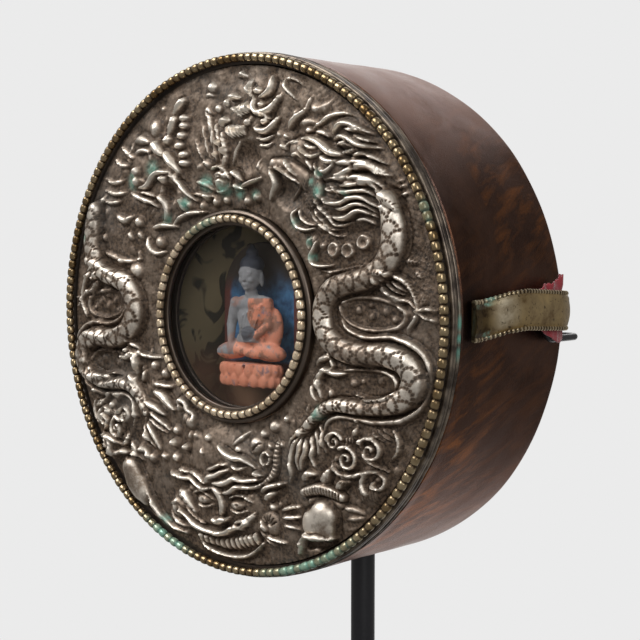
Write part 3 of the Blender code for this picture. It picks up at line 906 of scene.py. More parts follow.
def dragon_legs(plate):
    """The fore leg on the outside of the coils and the hind leg beside the window."""
    plate.strokes([
        # Fore leg with its striped fin, and the claws at its end.
        ([(43, 10.8), (46.5, 10.4), (50.4, 8.8), (52.6, 5.8), (53.6, 2.6)], 0.8, 1.6),
        ([(43.2, 10), (44.6, 7.4), (48, 5.2), (51, 4.8), (53.4, 2.8)], 0.8, 1.5),
        ([(45, 9.2), (47.4, 7.2), (50, 6)], 0.45, 1.2),
        ([(46.2, 9.6), (48.6, 7.8), (50.8, 6.6)], 0.45, 1.1),
        ([(44.8, 8.2), (46.6, 6.4), (49, 5.4)], 0.4, 1.0),
        ([(53.2, 2.8), (55.4, 3.3), (58, 2.9)], 0.55, 1.4),
        ([(53.2, 2.6), (55.2, 1.4), (57.4, 0.9)], 0.45, 1.0),
        ([(53.4, 2.8), (52.6, 0.8), (51.2, -0.8), (51, -2.2)], 0.55, 1.4),
        # Hind leg and its claws, beside the window.
        ([(35, -11.2), (32, -11.4), (29.4, -10.8), (27.6, -11.6), (26.9, -13.6), (27.8, -17)],
         0.95, 2.0),
        ([(31, -7.2), (29.2, -8), (27, -8.8), (26, -10)], 0.9, 1.6),
        ([(30.4, -7.8), (31.2, -9.8), (30, -11)], 0.6, 1.3),
        ([(24.6, -14.4), (25, -16.4), (26.4, -17.8)], 0.5, 1.3),
        ([(26, -12), (25.4, -13.8), (25.8, -15.4)], 0.45, 0.9),
    ])


def clouds(plate):
    """Curled clouds under the dragon's tail, with ribbed flame tips above the vase."""
    plate.boss(37, -27, 8.0, 0.9, wide=1.1, power=0.6)
    plate.boss(41, -35.5, 4.6, 1.1, wide=0.9, power=0.6)
    plate.spiral(32.4, -26.2, 2.2, 1.5, 0.05, 0.6, 1.5)
    plate.spiral(42, -27.4, 3.0, 1.4, 0.4, 0.7, 1.6, hand=-1.0)
    plate.spiral(35.9, -29.8, 2.9, 1.5, 0.35, 0.75, 1.9, hand=-1.0)
    plate.spiral(43, -34.4, 3.4, 1.2, 0.62, 0.7, 1.6, hand=-1.0)
    plate.boss(38, -23.8, 1.2, 1.8)
    plate.boss(43.4, -33.4, 0.9, 1.3)
    for step in range(6):
        plate.stroke([(35.6 + 0.8 * step, -24.6 - 0.1 * abs(step - 2.5)),
                      (36 + 0.75 * step, -27)], 0.36, 1.2)
        plate.stroke([(31 + 0.75 * step, -30.6 - 0.2 * step),
                      (32.2 + 0.7 * step, -32.9 - 0.05 * step)], 0.34, 0.9)
        plate.stroke([(39.2 + 0.7 * step, -38.8 + 0.1 * step), (39.8 + 0.5 * step, -34.8)],
                     0.3, 0.7)
    plate.strokes([
        ([(31, -31.6), (33.4, -33.6), (37.6, -33.2), (41, -32), (44, -31.6)], 0.75, 1.6),
        ([(39.5, -26.4), (40.5, -29), (43, -30.6), (46, -31.8)], 0.55, 1.3),
        ([(43, -22.4), (45, -24), (46.8, -25)], 0.3, 1.0),
        ([(44, -22), (46, -23.4), (47.4, -24.4)], 0.3, 1.0),
        ([(42.2, -23), (43.8, -24.4), (45.6, -25.8)], 0.3, 0.9),
        ([(47, -22.4), (48.3, -24.6), (48, -27.4), (46, -29.4)], 0.55, 1.3),
        # Ribbed flame tips above the vase.
        ([(22.6, -36), (24, -34.4), (26.2, -34.2)], 1.1, 1.8),
        ([(28.4, -36.2), (29.4, -33.8), (30.4, -32.6)], 1.2, 2.0),
        ([(32, -36.8), (33.8, -35.2), (36, -34.8)], 1.2, 1.7),
    ])
    for step in range(3):
        plate.stroke([(23 + 0.9 * step, -36), (24.2 + 0.8 * step, -34.2)], 0.22, -0.7)
        plate.stroke([(28.4 + 0.8 * step, -36), (29.2 + 0.7 * step, -33)], 0.22, -0.7)
        plate.stroke([(32.6 + 0.9 * step, -36.6), (34 + 0.7 * step, -34.8)], 0.22, -0.7)
    plate.chase((46, -34), (53, -18), 60, 0.9, 0.12)


def vase(plate):
    """The vase under the flames, with a ribbed collar and a ragged dark foot."""
    plate.tube([(22.8, -38.6, 1.1), (27.8, -37.4, 1.4), (33.4, -38.6, 1.1)], 2.4)
    for step in range(13):
        t = step / 12
        lift = 0.9 * math.sin(math.pi * t)
        plate.stroke([(23.4 + 9.6 * t, -37.8 + lift), (23.6 + 9.2 * t, -39.8 + lift)], 0.26, -1.0)
    plate.tube([(24.4, -40.6, 0.8), (28.4, -40, 0.9), (32.6, -40.6, 0.8)], 1.4)
    index, _, _, _, u = plate.tube([(28.2, -43.4, 3.6), (27.6, -44.6, 4.2), (27, -45.6, 4.8)],
                                   3.0)
    x, z = plate.x[index], plate.z[index]
    # The left half is brightened in patches: a painted highlight.
    rubbed = np.clip((29.5 - x) / 2.0, 0.1, 2.6)
    rubbed *= np.clip(0.85 + 0.9 * ripple(x, z, 3.0, 9), 0.2, 1.2)
    plate.bright[index] = np.maximum(plate.bright[index], rubbed * np.clip(1.3 - u, 0, 1))
    plate.stroke([(22.8, -48), (25, -48.6), (27.6, -48.2), (29.4, -48.7), (31.2, -48)], 0.8, 2.4)
    for x, z, size in ((23, -50.4, 1.7), (25, -50, 1.6), (27.2, -50.5, 1.8), (29.3, -49.7, 1.6),
                       (31.4, -50.2, 1.8)):
        plate.boss(x, z, size, -3.4)
    plate.strokes([
        ([(22.8, -48.2), (21.4, -50.6), (20.4, -53.4)], 0.8, 1.9),
        ([(33.6, -41), (36.4, -41.2), (39, -41.8)], 0.8, 0.8),
        ([(34, -43.6), (37, -43), (40, -42.4)], 0.6, 0.6),
        ([(34, -46), (36, -45.6), (38.4, -44.6)], 0.6, 0.6),
    ])


def tail_hair(plate):
    """The tuft of hair at the tail's tip."""
    plate.boss(22.6, -25.4, 1.5, 1.6)
    plate.strokes([
        ([(21.6, -26.2), (19.8, -28.6), (19.2, -32), (19.6, -34.6), (18.6, -37)], 0.7, 1.9),
        ([(20.8, -25.4), (19, -27.2), (18.2, -29)], 0.5, 1.2),
        ([(22.2, -26.6), (21.4, -29.6), (21, -31.6), (21.4, -34)], 0.7, 1.9),
        ([(23.4, -26.4), (23.6, -29), (22.2, -31.6), (22, -34)], 0.7, 1.9),
        ([(24.8, -25.8), (25.6, -28.6), (25.2, -30.6), (26, -32.8)], 0.55, 1.3),
        ([(26, -24.4), (26.8, -26.6), (27, -29.6)], 0.5, 1.1),
        ([(27.4, -23), (28.6, -25.6), (28.8, -28)], 0.5, 1.0),
    ])


def dragon_head(plate):
    """The right dragon's head, its jaws open towards the top of the window."""
    plate.tube([(21, 38, 2.4), (26, 36.4, 3.8), (31, 34.4, 3.6), (35, 33, 2.4)], 1.4)
    plate.tube([(13.6, 35, 1.3), (17.6, 34, 2.0), (21.6, 31.8, 2.3), (25, 29.6, 2.2)], 1.3)
    plate.tube([(26.6, 31, 1.8), (26.4, 28, 2.3), (24.6, 26, 1.7)], 1.4)
    plate.punch((22.6, 23.8), (28.2, 31.6), 0.75, 0.35)
    plate.boss(18.5, 28.2, 4.2, -1.5, wide=1.15)
    plate.strokes([
        # The crest, from the brow to its ribbed tip.
        ([(22, 40.4), (25, 40.2), (27.6, 39.2), (30, 37.4), (32.4, 36.4), (35, 36.3),
          (38.2, 37)], 1.0, 2.2),
        ([(25.6, 41.2), (28, 41), (29.6, 40)], 0.9, 1.4),
        ([(21.8, 38.6), (23.6, 37), (26, 36), (29, 36.8)], 0.55, 1.5),
        ([(23.4, 39), (25.4, 38), (27.6, 38)], 0.5, 1.0),
        ([(28.6, 36), (30.6, 34.8), (33.6, 34.6)], 0.7, 1.7),
        # Eye and cheek.
        ([(28.2, 33.4), (30, 32.5), (32, 33.4), (33.2, 35)], 0.5, 1.5),
        ([(26.4, 34.4), (27.4, 32), (29.4, 30.8), (32, 31)], 0.5, 1.0),
        ([(24, 35.4), (25.6, 33.6), (25.2, 31.6)], 0.5, 1.0),
        # Muzzle.
        ([(14.4, 34.2), (17, 33.2), (19.4, 31.6), (22, 30.2)], 0.5, 1.4),
        ([(17.4, 35.8), (19.4, 33.6), (21.6, 31.8)], 0.5, 1.2),
        ([(16, 32.4), (17.4, 31.4), (19.4, 31)], 0.4, 0.9),
        ([(17, 38.6), (19, 39.6), (21.4, 39.4)], 0.5, 1.0),
        ([(19.6, 36.4), (21.6, 36.8), (23.4, 35.6)], 0.5, 1.0),
        ([(16, 39.2), (17.6, 38)], 0.7, 1.4),
        ([(16.6, 41.4), (18, 40.6)], 0.6, 1.0),
        # Fang, tongue, lower jaw and the pearl under it.
        ([(12.4, 34.2), (14, 32), (14.5, 30.2), (13.6, 28.6), (12.6, 26.8)], 1.0, 2.1),
        ([(18, 26.6), (20, 28.6), (22.4, 30)], 0.4, 0.8),
        ([(20.4, 25), (19.2, 23), (20.4, 20.8), (23, 20), (26, 20.3)], 0.7, 1.6),
        ([(21.4, 24.6), (21.6, 22.8), (23.8, 21.4), (26.6, 21)], 0.6, 1.2),
        # Beard.
        ([(26.4, 26.6), (28.2, 24.6), (30.4, 22.8), (32, 21), (34.4, 20.8), (37, 21.4)],
         0.55, 1.6),
        ([(25.4, 25.2), (27.4, 23), (29.4, 21.2), (31, 20), (34, 20)], 0.5, 1.4),
        ([(24.6, 24.4), (27, 22), (29.6, 20), (32, 18.7), (34.6, 18.5)], 0.5, 1.3),
        ([(27.6, 27.8), (29.6, 26), (31.6, 25.4)], 0.5, 1.2),
        # Curls below the jaw.
        ([(26.2, 17.6), (25.6, 15.8), (24.6, 14.2), (25.2, 12.6), (27.4, 12), (31, 12.2)],
         0.65, 1.7),
        ([(24.6, 18.2), (23.6, 17), (24, 15.6)], 0.6, 1.1),
        ([(27, 11), (31, 10.8), (36, 11.4), (41, 12.6), (43, 15)], 0.5, 0.7),
    ])
    for step in range(9):
        x = 31.6 + 0.75 * step
        plate.stroke([(x, 37.6 - 0.02 * step), (x + 0.25, 35.6 + 0.03 * step)], 0.24, -1.0)
    for step in range(16):
        t = step / 15
        plate.boss(26.4 + 9 * t, 41.3 + 3.1 * math.sin(math.pi * (0.1 + 0.5 * t)), 0.36, -0.5)
    for x, z in ((31.4, 15.6), (35.6, 15.4), (39.6, 17.2)):
        plate.boss(x, z, 2.0, 1.2, power=0.8)
        plate.boss(x, z, 0.8, -0.6)
        plate.spiral(x, z, 1.5, 0.95, 0.1, 0.4, 0.5, inner=0.9)


def dragon_mane(plate):
    """Strands that stream back from the head, and the tufts and feathers round them."""
    plate.boss(37, 29.5, 10.0, 1.3, wide=1.1, power=0.6)
    plate.boss(36.5, 40, 5.0, 0.9, wide=1.6, power=0.6)
    plate.strokes([
        # Above the crest.
        ([(31, 40.8), (33, 42.7), (35.6, 42.6), (39, 41.2), (43, 39.6)], 0.75, 2.0),
        ([(34, 41.7), (37, 41.1), (39.6, 40)], 0.6, 1.5),
        ([(31.4, 39.2), (33.4, 40), (36, 39.4), (39, 37.8), (44, 37)], 0.75, 1.9),
        ([(36.6, 40.2), (39.6, 39), (42.6, 38.3)], 0.6, 1.6),
        ([(31.6, 38), (34.6, 38.5), (38, 37.2)], 0.5, 1.2),
        ([(25, 42.2), (29, 44.6), (33, 45.1), (37, 44.2)], 0.6, 0.9),
        # Behind the head, from the top down.
        ([(37, 35.2), (39.4, 35.8), (42, 35.1), (45.4, 33.6)], 0.65, 1.6),
        ([(33.6, 34.2), (37, 34.3), (41, 33.9), (45.2, 31.9)], 0.95, 2.3),
        ([(32.8, 31.6), (35, 31.8), (37.6, 32.9), (41, 33), (44.2, 31.6), (46.4, 31.2)],
         0.75, 2.0),
        ([(32.2, 31), (35, 30.6), (38, 31), (41, 30.7), (43.6, 29.8), (45.8, 28)], 0.9, 2.3),
        ([(34, 29.4), (37, 29.5), (41, 29.8), (43.2, 28.8), (45, 27.4)], 0.8, 2.0),
        ([(32.8, 28.4), (35, 27.9), (38, 28.1), (41, 28), (43.4, 26.8)], 0.7, 1.8),
        ([(29, 27), (31, 25.8), (34, 25.6), (37, 26.6), (40, 26.6), (43, 25), (45.4, 24.4)],
         0.75, 1.9),
        ([(32, 24.6), (35, 24.4), (38, 25.3), (41, 24.8), (44, 23)], 0.65, 1.7),
        ([(31, 22.7), (34, 22.3), (36.4, 22.7), (39, 23.9), (42, 23.2), (44, 22.2)], 0.75, 1.9),
        ([(38, 21.8), (40.6, 22), (43, 20.8)], 0.5, 1.1),
        ([(31, 29.6), (32.8, 28.4), (33.4, 27)], 0.5, 1.2),
        ([(29.4, 29), (31.4, 28.3), (33, 28.6)], 0.5, 1.2),
        # Nape, and the tufts that stand off the neck.
        ([(43.4, 27.8), (46, 26.8), (48, 25.2), (49.2, 23.6)], 1.3, 2.2),
        ([(47.4, 29.8), (49.6, 30.2), (51.4, 29.9)], 0.4, 0.7),
        ([(47.6, 28.4), (49.6, 29), (51.8, 28.4)], 0.4, 0.7),
        ([(48.4, 26.8), (50.4, 27.4), (52.4, 27)], 0.4, 0.8),
        # Feathers towards the top.
        ([(18, 42.6), (19.8, 44.6), (23.4, 46.8)], 0.8, 1.9),
        ([(16, 53.8), (16.4, 52.2), (18.2, 50.4), (20, 48.8)], 0.6, 1.2),
        ([(16.4, 53.8), (18.6, 53.8), (21, 52.2)], 0.5, 0.9),
        ([(22.8, 46.6), (23.6, 48.6), (24.4, 49.6)], 0.5, 0.8),
        ([(24, 47), (27, 46.6), (29.6, 48)], 1.2, 0.6),
        ([(21, 43.4), (23.6, 44), (26.4, 43.2)], 0.9, 0.6),
    ])
    plate.chase((49.6, 2), (57.6, 29), -28, 1.0, 0.13)
    plate.punch((50, 4), (57.4, 18), 0.8, 0.16)
    plate.chase((22, 44), (36, 52), 20, 1.3, 0.12)


def left_head(plate):
    """The left dragon's open jaws, with the row of teeth between them."""
    plate.boss(-25, 35.5, 9.0, 0.9, wide=1.1, power=0.6)
    plate.strokes([
        ([(-15.6, 52), (-17.4, 50.4), (-19, 48.4)], 1.2, 2.2),
        ([(-18.6, 47.8), (-19.8, 45.6), (-20.8, 43.2)], 1.2, 2.2),
        ([(-25.6, 42), (-24.2, 40.6), (-22, 38.6)], 1.7, 2.5),
        ([(-21.4, 39.4), (-19.6, 37.6), (-18, 36), (-16.6, 34.2)], 1.4, 2.3),
        ([(-19.4, 34), (-17, 31.6), (-14, 29), (-11.4, 27.2)], 0.85, 1.9),
        ([(-31, 31), (-28, 31.2), (-26, 33.2), (-23.6, 34.5), (-19.4, 34.4)], 0.9, 1.8),
        ([(-34, 42.6), (-31, 43), (-27.6, 42)], 1.5, 1.4),
        ([(-33, 39.6), (-30, 40.2), (-27, 39.6)], 0.8, 1.3),
        ([(-35, 30), (-31, 28.4), (-27, 27.4), (-24.6, 26)], 0.95, 1.6),
        ([(-31, 29.8), (-28, 29.6), (-25, 28.6)], 0.6, 1.2),
        ([(-24.4, 28.6), (-22.2, 27.4), (-21.4, 25), (-22, 22.6)], 1.15, 1.9),
        ([(-26.6, 21), (-22.6, 21.6), (-18.4, 21.2)], 0.85, 1.7),
        ([(-19.4, 21.8), (-17, 23.4), (-13.4, 24.4), (-8.4, 24.6)], 0.75, 1.6),
        ([(-17, 28), (-16.4, 26), (-15.4, 24.6)], 0.6, 1.2),
        ([(-28.6, 18.8), (-27.6, 16.4), (-25.6, 14.8), (-22.6, 15.2)], 1.0, 1.5),
        ([(-40.6, 24.4), (-37.4, 23), (-34, 24)], 1.3, 1.4),
        ([(-51.4, 20.6), (-49.8, 18.4), (-47.6, 16.4)], 1.5, 2.0),
        ([(-46.4, 19.4), (-44.8, 18)], 1.2, 0.9),
        ([(-35.4, 20), (-34, 18)], 0.9, 1.0),
        ([(-32, 20), (-30.6, 18.4)], 0.9, 1.0),
        ([(-39, 27.8), (-43, 27.6), (-47, 28.8)], 0.7, 1.2),
        ([(-37, 30), (-41, 29.8), (-46, 31)], 0.7, 1.2),
        ([(-38, 33), (-42, 32.6), (-46, 34)], 0.7, 1.0),
        ([(-36, 36.6), (-39.4, 37), (-42, 38.6)], 0.7, 1.0),
        ([(-34, 38.4), (-37, 39.8), (-39.4, 41.8)], 0.7, 1.0),
    ])
    for x, z in ((-15.8, 47.3), (-15.6, 45.4), (-16.4, 43.1), (-17, 40.7), (-15.4, 38.5),
                 (-15.2, 36.4)):
        plate.boss(x, z, 1.05, 1.7, wide=1.6, power=0.7)
    for x, z, size in ((-21.2, 42.2, 1.5), (-22, 32.6, 1.1), (-32.2, 35, 1.4),
                       (-32.4, 32.6, 1.4), (-24.2, 17.5, 1.7), (-31.4, 22.6, 1.5),
                       (-26, 45.6, 2.4)):
        plate.boss(x, z, size, 1.5, power=0.8)
    plate.boss(-17.5, 31.6, 2.0, -0.8)
    plate.boss(-20.6, 29.6, 2.6, -1.2)


def left_coils(plate):
    """Bright edges that show where the left dragon's coils turn."""
    plate.strokes([
        ([(-54.6, 13.4), (-50.6, 12.6), (-46.6, 11.8), (-42.6, 10.6), (-38.4, 9)], 1.2, 1.0),
        ([(-53, 9.2), (-49, 8.6), (-45, 9.6), (-41.4, 8.6), (-38.6, 7)], 0.9, 1.1),
        ([(-47.6, 15.6), (-42, 14), (-36, 12.8), (-31, 13.4)], 0.8, 0.9),
        ([(-54, -8), (-51, -6), (-46.6, -6.4), (-42.6, -6.6), (-39, -4.6), (-36.2, -3.6)],
         1.0, 1.2),
        ([(-54, -15.6), (-49.6, -17), (-44, -16.4), (-40, -15.8), (-36, -16.8)], 1.0, 1.2),
        ([(-47, -19.6), (-43, -18.8), (-39.4, -17.6)], 0.8, 0.9),
        ([(-37.6, -9.4), (-33.6, -9.8), (-29, -10.8), (-23.6, -10.9)], 0.8, 1.7),
        ([(-32.4, -10.4), (-31.8, -12.4), (-32.4, -14.4)], 1.1, 1.7),
        ([(-49, -24.4), (-45.6, -23.4), (-42.6, -20.8)], 1.0, 1.3),
        ([(-43, -36.8), (-40, -36), (-37, -35.4), (-33.4, -36), (-31, -37)], 0.9, 1.4),
    ])
    for x, z, size in ((-26.4, -12.9, 1.3), (-23, -14.8, 1.4), (-52, -12.6, 1.9),
                       (-45.6, -27, 1.9), (-39.4, -21.5, 1.4), (-31, -34, 1.5),
                       (-27.4, -36, 1.6), (-29, -31, 1.4), (-33, 10.4, 2.5)):
        plate.boss(x, z, size, 1.4, power=0.8)


def left_tail(plate):
    """The left tail's tuft, which sweeps towards the mask, and the vase below it."""
    plate.strokes([
        ([(-35.4, -15.6), (-33.4, -18.2), (-31.4, -20.4), (-29, -22)], 2.0, 2.4),
        ([(-29, -22.2), (-25.8, -23.4), (-22.6, -25)], 1.2, 2.1),
        ([(-26.4, -19.4), (-23.6, -20.2), (-20.4, -22.6), (-19, -23.4)], 1.5, 2.2),
        ([(-26.4, -17.4), (-23.6, -17.8), (-20.4, -17.8)], 0.9, 1.8),
        ([(-28.6, -24), (-25, -26), (-20.4, -28.6)], 0.8, 1.6),
        ([(-28.4, -25.6), (-25, -28), (-21.8, -29.4)], 0.6, 1.2),
        ([(-29, -27.4), (-26.4, -30), (-24.4, -33.8)], 0.8, 1.6),
        ([(-30.4, -28), (-28.4, -31), (-26.4, -33.6)], 0.6, 1.2),
        ([(-17.6, -22.6), (-17.6, -21), (-15.6, -21.4), (-14.8, -23), (-12.8, -24.2),
          (-12.8, -26)], 1.0, 2.0),
        ([(-30, -45.4), (-27.4, -48), (-24.8, -51.2)], 1.2, 1.5),
    ])
    plate.boss(-13.8, -26, 2.0, 1.3)
    plate.tube([(-35.6, -39.6, 3.1), (-34, -43, 3.8), (-32.4, -46, 4.0)], 2.8)
    for x, z, size in ((-36, -48.4, 2.2), (-32.6, -49.4, 2.6), (-29, -50.6, 2.4)):
        plate.boss(x, z, size, -1.9)
    for z in (-28.4, -31.4, -35):
        plate.boss(-18.6, z, 1.4, 1.4)
    plate.boss(-14.8, -32.3, 1.2, 1.1)


def top_emblem(plate):
    """Curls, shells and a jewel above the window."""
    plate.boss(5, 47.5, 7.5, 0.8, wide=1.1, power=0.6)
    plate.strokes([
        # Three hooked curls on the right, with the snout on the left.
        ([(6.6, 54.6), (6.2, 52.8), (6.7, 51.2), (8, 50.1)], 0.7, 1.7),
        ([(12.3, 55), (12.7, 53), (12, 51.5), (10.5, 50.6), (9.3, 50.3)], 0.95, 2.1),
        ([(7.9, 50), (8, 48.2), (9, 46.9), (11, 46.8), (13, 47.7), (14.9, 50.2)], 1.05, 2.1),
        ([(8.2, 43.6), (9.6, 42.7), (11.6, 42.6), (13.5, 43.7), (14.8, 45.4)], 0.95, 2.0),
        ([(10, 45.8), (11.2, 46), (12.6, 45.2)], 0.5, 1.2),
        ([(0.2, 51), (1.8, 51), (3.4, 50.6)], 0.95, 2.1),
        ([(1.6, 55.6), (3.4, 56.2), (5, 55.2)], 0.8, 1.1),
        ([(-2.6, 44.4), (-1.6, 45.6), (0.3, 45.6)], 1.15, 2.1),
        # The jewel's arch and the leaves beside it.
        ([(-6.4, 34.3), (-4.6, 35), (-2.2, 34.8), (-0.2, 33.3)], 0.6, 1.6),
        ([(0.6, 33.8), (2.2, 33), (3.6, 31.6)], 1.0, 2.2),
        ([(3.4, 30.2), (6, 30.9), (9.8, 32)], 0.65, 1.9),
        ([(0.6, 30.8), (2.4, 30), (4.4, 29.6)], 0.7, 1.1),
        ([(-11.4, 31.8), (-8.4, 31.2), (-5.2, 29.4)], 0.8, 1.2),
        ([(-12.6, 29), (-9, 28.6), (-5, 28)], 0.6, 0.9),
        ([(8.4, 41), (11, 40.6), (13.6, 41.4)], 0.55, 1.1),
        ([(9, 39.4), (11.6, 39.2), (13.4, 39.8)], 0.5, 1.0),
        # Long strands down to the jewel.
        ([(-8.8, 50), (-7.2, 45.6), (-6, 41), (-4.8, 37), (-4.2, 35.4)], 0.4, 0.9),
        ([(-7.4, 48), (-5.9, 43), (-4.9, 39), (-3.9, 35.4)], 0.35, 0.9),
        ([(-10, 46), (-8.2, 41), (-6.4, 37), (-5.2, 35.2)], 0.35, 0.7),
        ([(-5.4, 46), (-4.2, 42.6), (-3.4, 39.8), (-3.2, 36)], 0.4, 1.1),
        ([(-3, 43), (-1.8, 40), (-1.3, 37.4), (-1.8, 35.4)], 0.5, 1.3),
        ([(-12, 42), (-9.6, 38), (-7.4, 35.2)], 0.35, 0.6),
        ([(3.4, 40.6), (1.8, 38.4), (0.6, 35.4)], 0.4, 0.8),
    ])
    for x, z, size, wide in ((8.8, 51.8, 1.0, 1.2), (10, 48.5, 0.95, 1.1), (11.1, 44.6, 1.1, 1.1),
                             (-6.4, 53.9, 1.5, 0.9), (-4, 48.7, 1.2, 1.0), (-1, 49.8, 1.0, 1.1),
                             (-3.4, 40.7, 0.8, 0.8), (-1.5, 38.7, 1.0, 0.8),
                             (-4.5, 38, 0.8, 0.7), (5.9, 44.8, 0.9, 1.0)):
        plate.boss(x, z, size, 1.6, wide=wide, power=0.8)
    for step in range(5):
        plate.stroke([(1.3 + 1.1 * step, 48.4 + 0.25 * step), (2.6 + 1.1 * step, 47.6),
                      (4.2 + 0.8 * step, 46.1 + 0.35 * step)], 0.62, 2.0)
    for step in range(5):
        plate.stroke([(0.2 + 1.25 * step, 44.5 - 0.1 * step), (0.2 + 1.1 * step, 43),
                      (1.3 + 0.95 * step, 41.5 + 0.12 * step)], 0.6, 2.0)
    plate.boss(-2.8, 31.6, 2.9, 1.7, wide=0.8, power=0.55)
    plate.spiral(-2.8, 31.6, 2.75, 0.97, 0.3, 0.4, 0.8, inner=0.95)
    plate.strokes([([(-4.2, 33), (-2.8, 33.6), (-1.4, 32.8)], 0.4, 0.7),
                   ([(-4.2, 31.9), (-2.8, 32.4), (-1.2, 31.6)], 0.3, -0.6)])
    plate.boss(5.6, 37.2, 4.0, -1.3)
    for x, z in ((-8, 28), (-5, 26.8), (5, 26.8), (-9.4, 26), (-1.6, 27.2), (8, 27.6)):
        plate.boss(x, z, 1.3, 1.3)


def mask(plate):
    """The horned guardian mask below the window: its masses and lines."""
    plate.boss(-3, -34.6, 8.6, 1.5, wide=1.3, power=0.7)
    plate.boss(-3.6, -46.5, 9.6, 1.5, wide=1.5, power=0.7)
    plate.boss(-1, -53.4, 5.4, -1.3, wide=2.0)
    plate.strokes([
        # Crest above the brows.
        ([(-3.4, -30.4), (-0.8, -32), (2, -32.9), (5, -33), (8.2, -34.8)], 0.95, 2.1),
        ([(7.8, -35.8), (10.3, -36.3)], 0.85, 1.9),
        ([(1, -34.8), (3, -35.5), (5.4, -34.8)], 0.55, 1.1),
        # Brows, each a pair of waves that meet over the nose.
        ([(-20.6, -38.8), (-16, -39.6), (-12.6, -39.5), (-10, -40.7), (-7.6, -41.3),
          (-4.4, -40.6)], 0.85, 2.1),
        ([(-17.4, -37.5), (-14.6, -38.2), (-11.8, -38), (-9.4, -38.7), (-7.4, -39.7),
          (-5.6, -39.2)], 0.7, 1.6),
        ([(-6.4, -39.6), (-5.6, -38.2), (-3.6, -37.6), (-1.8, -36.7), (0.4, -35.9)], 0.85, 2.1),
        ([(-7, -36.8), (-4.6, -36), (-2.4, -35), (-0.2, -34.8)], 0.6, 1.4),
        ([(-4.2, -39.4), (-1.6, -39.3), (0.6, -38.7), (2.4, -37.7), (5, -38.1), (9.8, -37.2)],
         0.9, 2.2),
        ([(-1.4, -41.5), (1.2, -41), (3.2, -39.6), (6, -39.5), (8.6, -39.1), (11, -37.8)],
         0.8, 2.0),
        # Nose.
        ([(-4.2, -40.4), (-2.4, -41.5), (-1.5, -43.2), (-1.4, -45.2), (-2.2, -47.2)], 1.0, 2.3),
        ([(-5, -48), (-3.7, -48.9), (-2.4, -48.2), (-0.9, -47.9), (0.4, -47.2)], 0.95, 2.1),
        ([(-5, -50), (-2.6, -50.1), (-0.4, -49.2)], 0.7, -1.0),
        ([(-3.8, -45.6), (-4, -46.8)], 0.6, -0.8),
        # Lids over the eyeballs below.
        ([(-12.4, -43), (-10.2, -42.2), (-7.6, -42.1), (-4.4, -43.7)], 0.5, 1.3),
        ([(-10.6, -45), (-7.6, -45.6), (-4.6, -44.7)], 0.5, 1.1),
        ([(0.2, -43.2), (2.2, -41.9), (5, -41.8), (7.4, -43)], 0.5, 1.3),
        ([(0.6, -45.2), (3, -45.8), (6, -45)], 0.45, 1.0),
        # Moustache, lips and chin.
        ([(-17, -47.4), (-13.4, -49.5), (-10, -51), (-6, -51.8), (-2.8, -51.6),
          (0, -50.4), (1.8, -49.6), (4, -49.1), (6, -47.8), (7.8, -46)], 1.0, 2.3),
        ([(-15, -46.4), (-11.4, -48.9), (-8, -50)], 0.5, 1.1),
        ([(1, -49.1), (3.2, -47.9), (5.4, -47.2), (8.2, -45.1)], 0.55, 1.5),
        ([(-11, -54.8), (-7.4, -56.4), (-3.4, -57.1), (0.8, -57), (4.8, -55.9), (7.8, -54),
          (9.6, -52.2)], 0.85, 2.2),
        # Left cheek, its curl and the sweep below it.
        ([(-17, -42.6), (-14.4, -44), (-12.4, -45.8), (-10.8, -47.6)], 1.5, 2.1),
        ([(-21.6, -48.6), (-19, -51.2), (-15.4, -51.8), (-12.6, -51)], 0.6, 1.1),
        ([(-29, -45), (-26.6, -48.4), (-24, -51.2), (-20.6, -53), (-16, -53.6)], 0.8, 1.2),
        # Leaves and rays on the right.
        ([(10.3, -40.2), (12, -38.8), (14.4, -38), (17.2, -37.3)], 0.85, 2.1),
        ([(11.2, -41.6), (13, -40.3), (14.6, -39.5)], 1.0, 1.9),
        ([(15.6, -43.8), (18.6, -42.7), (21.2, -42.2)], 0.6, 1.3),
        ([(16, -45.3), (18.6, -45), (21.4, -44.6)], 0.65, 1.5),
        ([(16.4, -47.2), (18.6, -47.2), (20.8, -47.6)], 0.55, 1.2),
        ([(10.2, -50.2), (13, -50.9), (17, -51.3)], 0.6, 1.4),
        ([(9, -49.6), (11, -51.4), (13.4, -52.8)], 0.5, 1.0),
    ])


def mask_cheeks_and_eyes(plate):
    """The curled cheek and its creases, the eyeballs, and the ribs round the right cheek."""
    plate.boss(-18.2, -47, 3.1, 1.6, power=0.6)
    plate.spiral(-18.2, -47, 2.2, 1.0, 0.1, 0.5, -0.6, inner=0.5)
    for step in range(4):
        plate.stroke([(-16.6 + 1.3 * step, -43.6 - 1.1 * step),
                      (-15 + 1.3 * step, -42.8 - 1.2 * step)], 0.22, -0.6)
    plate.boss(13.5, -43.2, 1.1, 1.8)
    plate.boss(12.1, -47.4, 2.9, 1.1, power=0.6)
    for x, z, wide in ((-8, -43.8, 1.9), (2.9, -44, 1.6)):
        plate.boss(x, z, 1.35, 1.7, wide=wide, power=0.8)
        plate.boss(x + 0.3, z, 0.5, -0.7)
    for step in range(6):
        angle = 0.5 + 0.42 * step
        plate.stroke([(11.6 - 0.7 * math.cos(angle), -48.2 + 0.7 * math.sin(angle)),
                      (11.8 - 2.9 * math.cos(angle), -48 + 2.9 * math.sin(angle))], 0.26, -0.9)


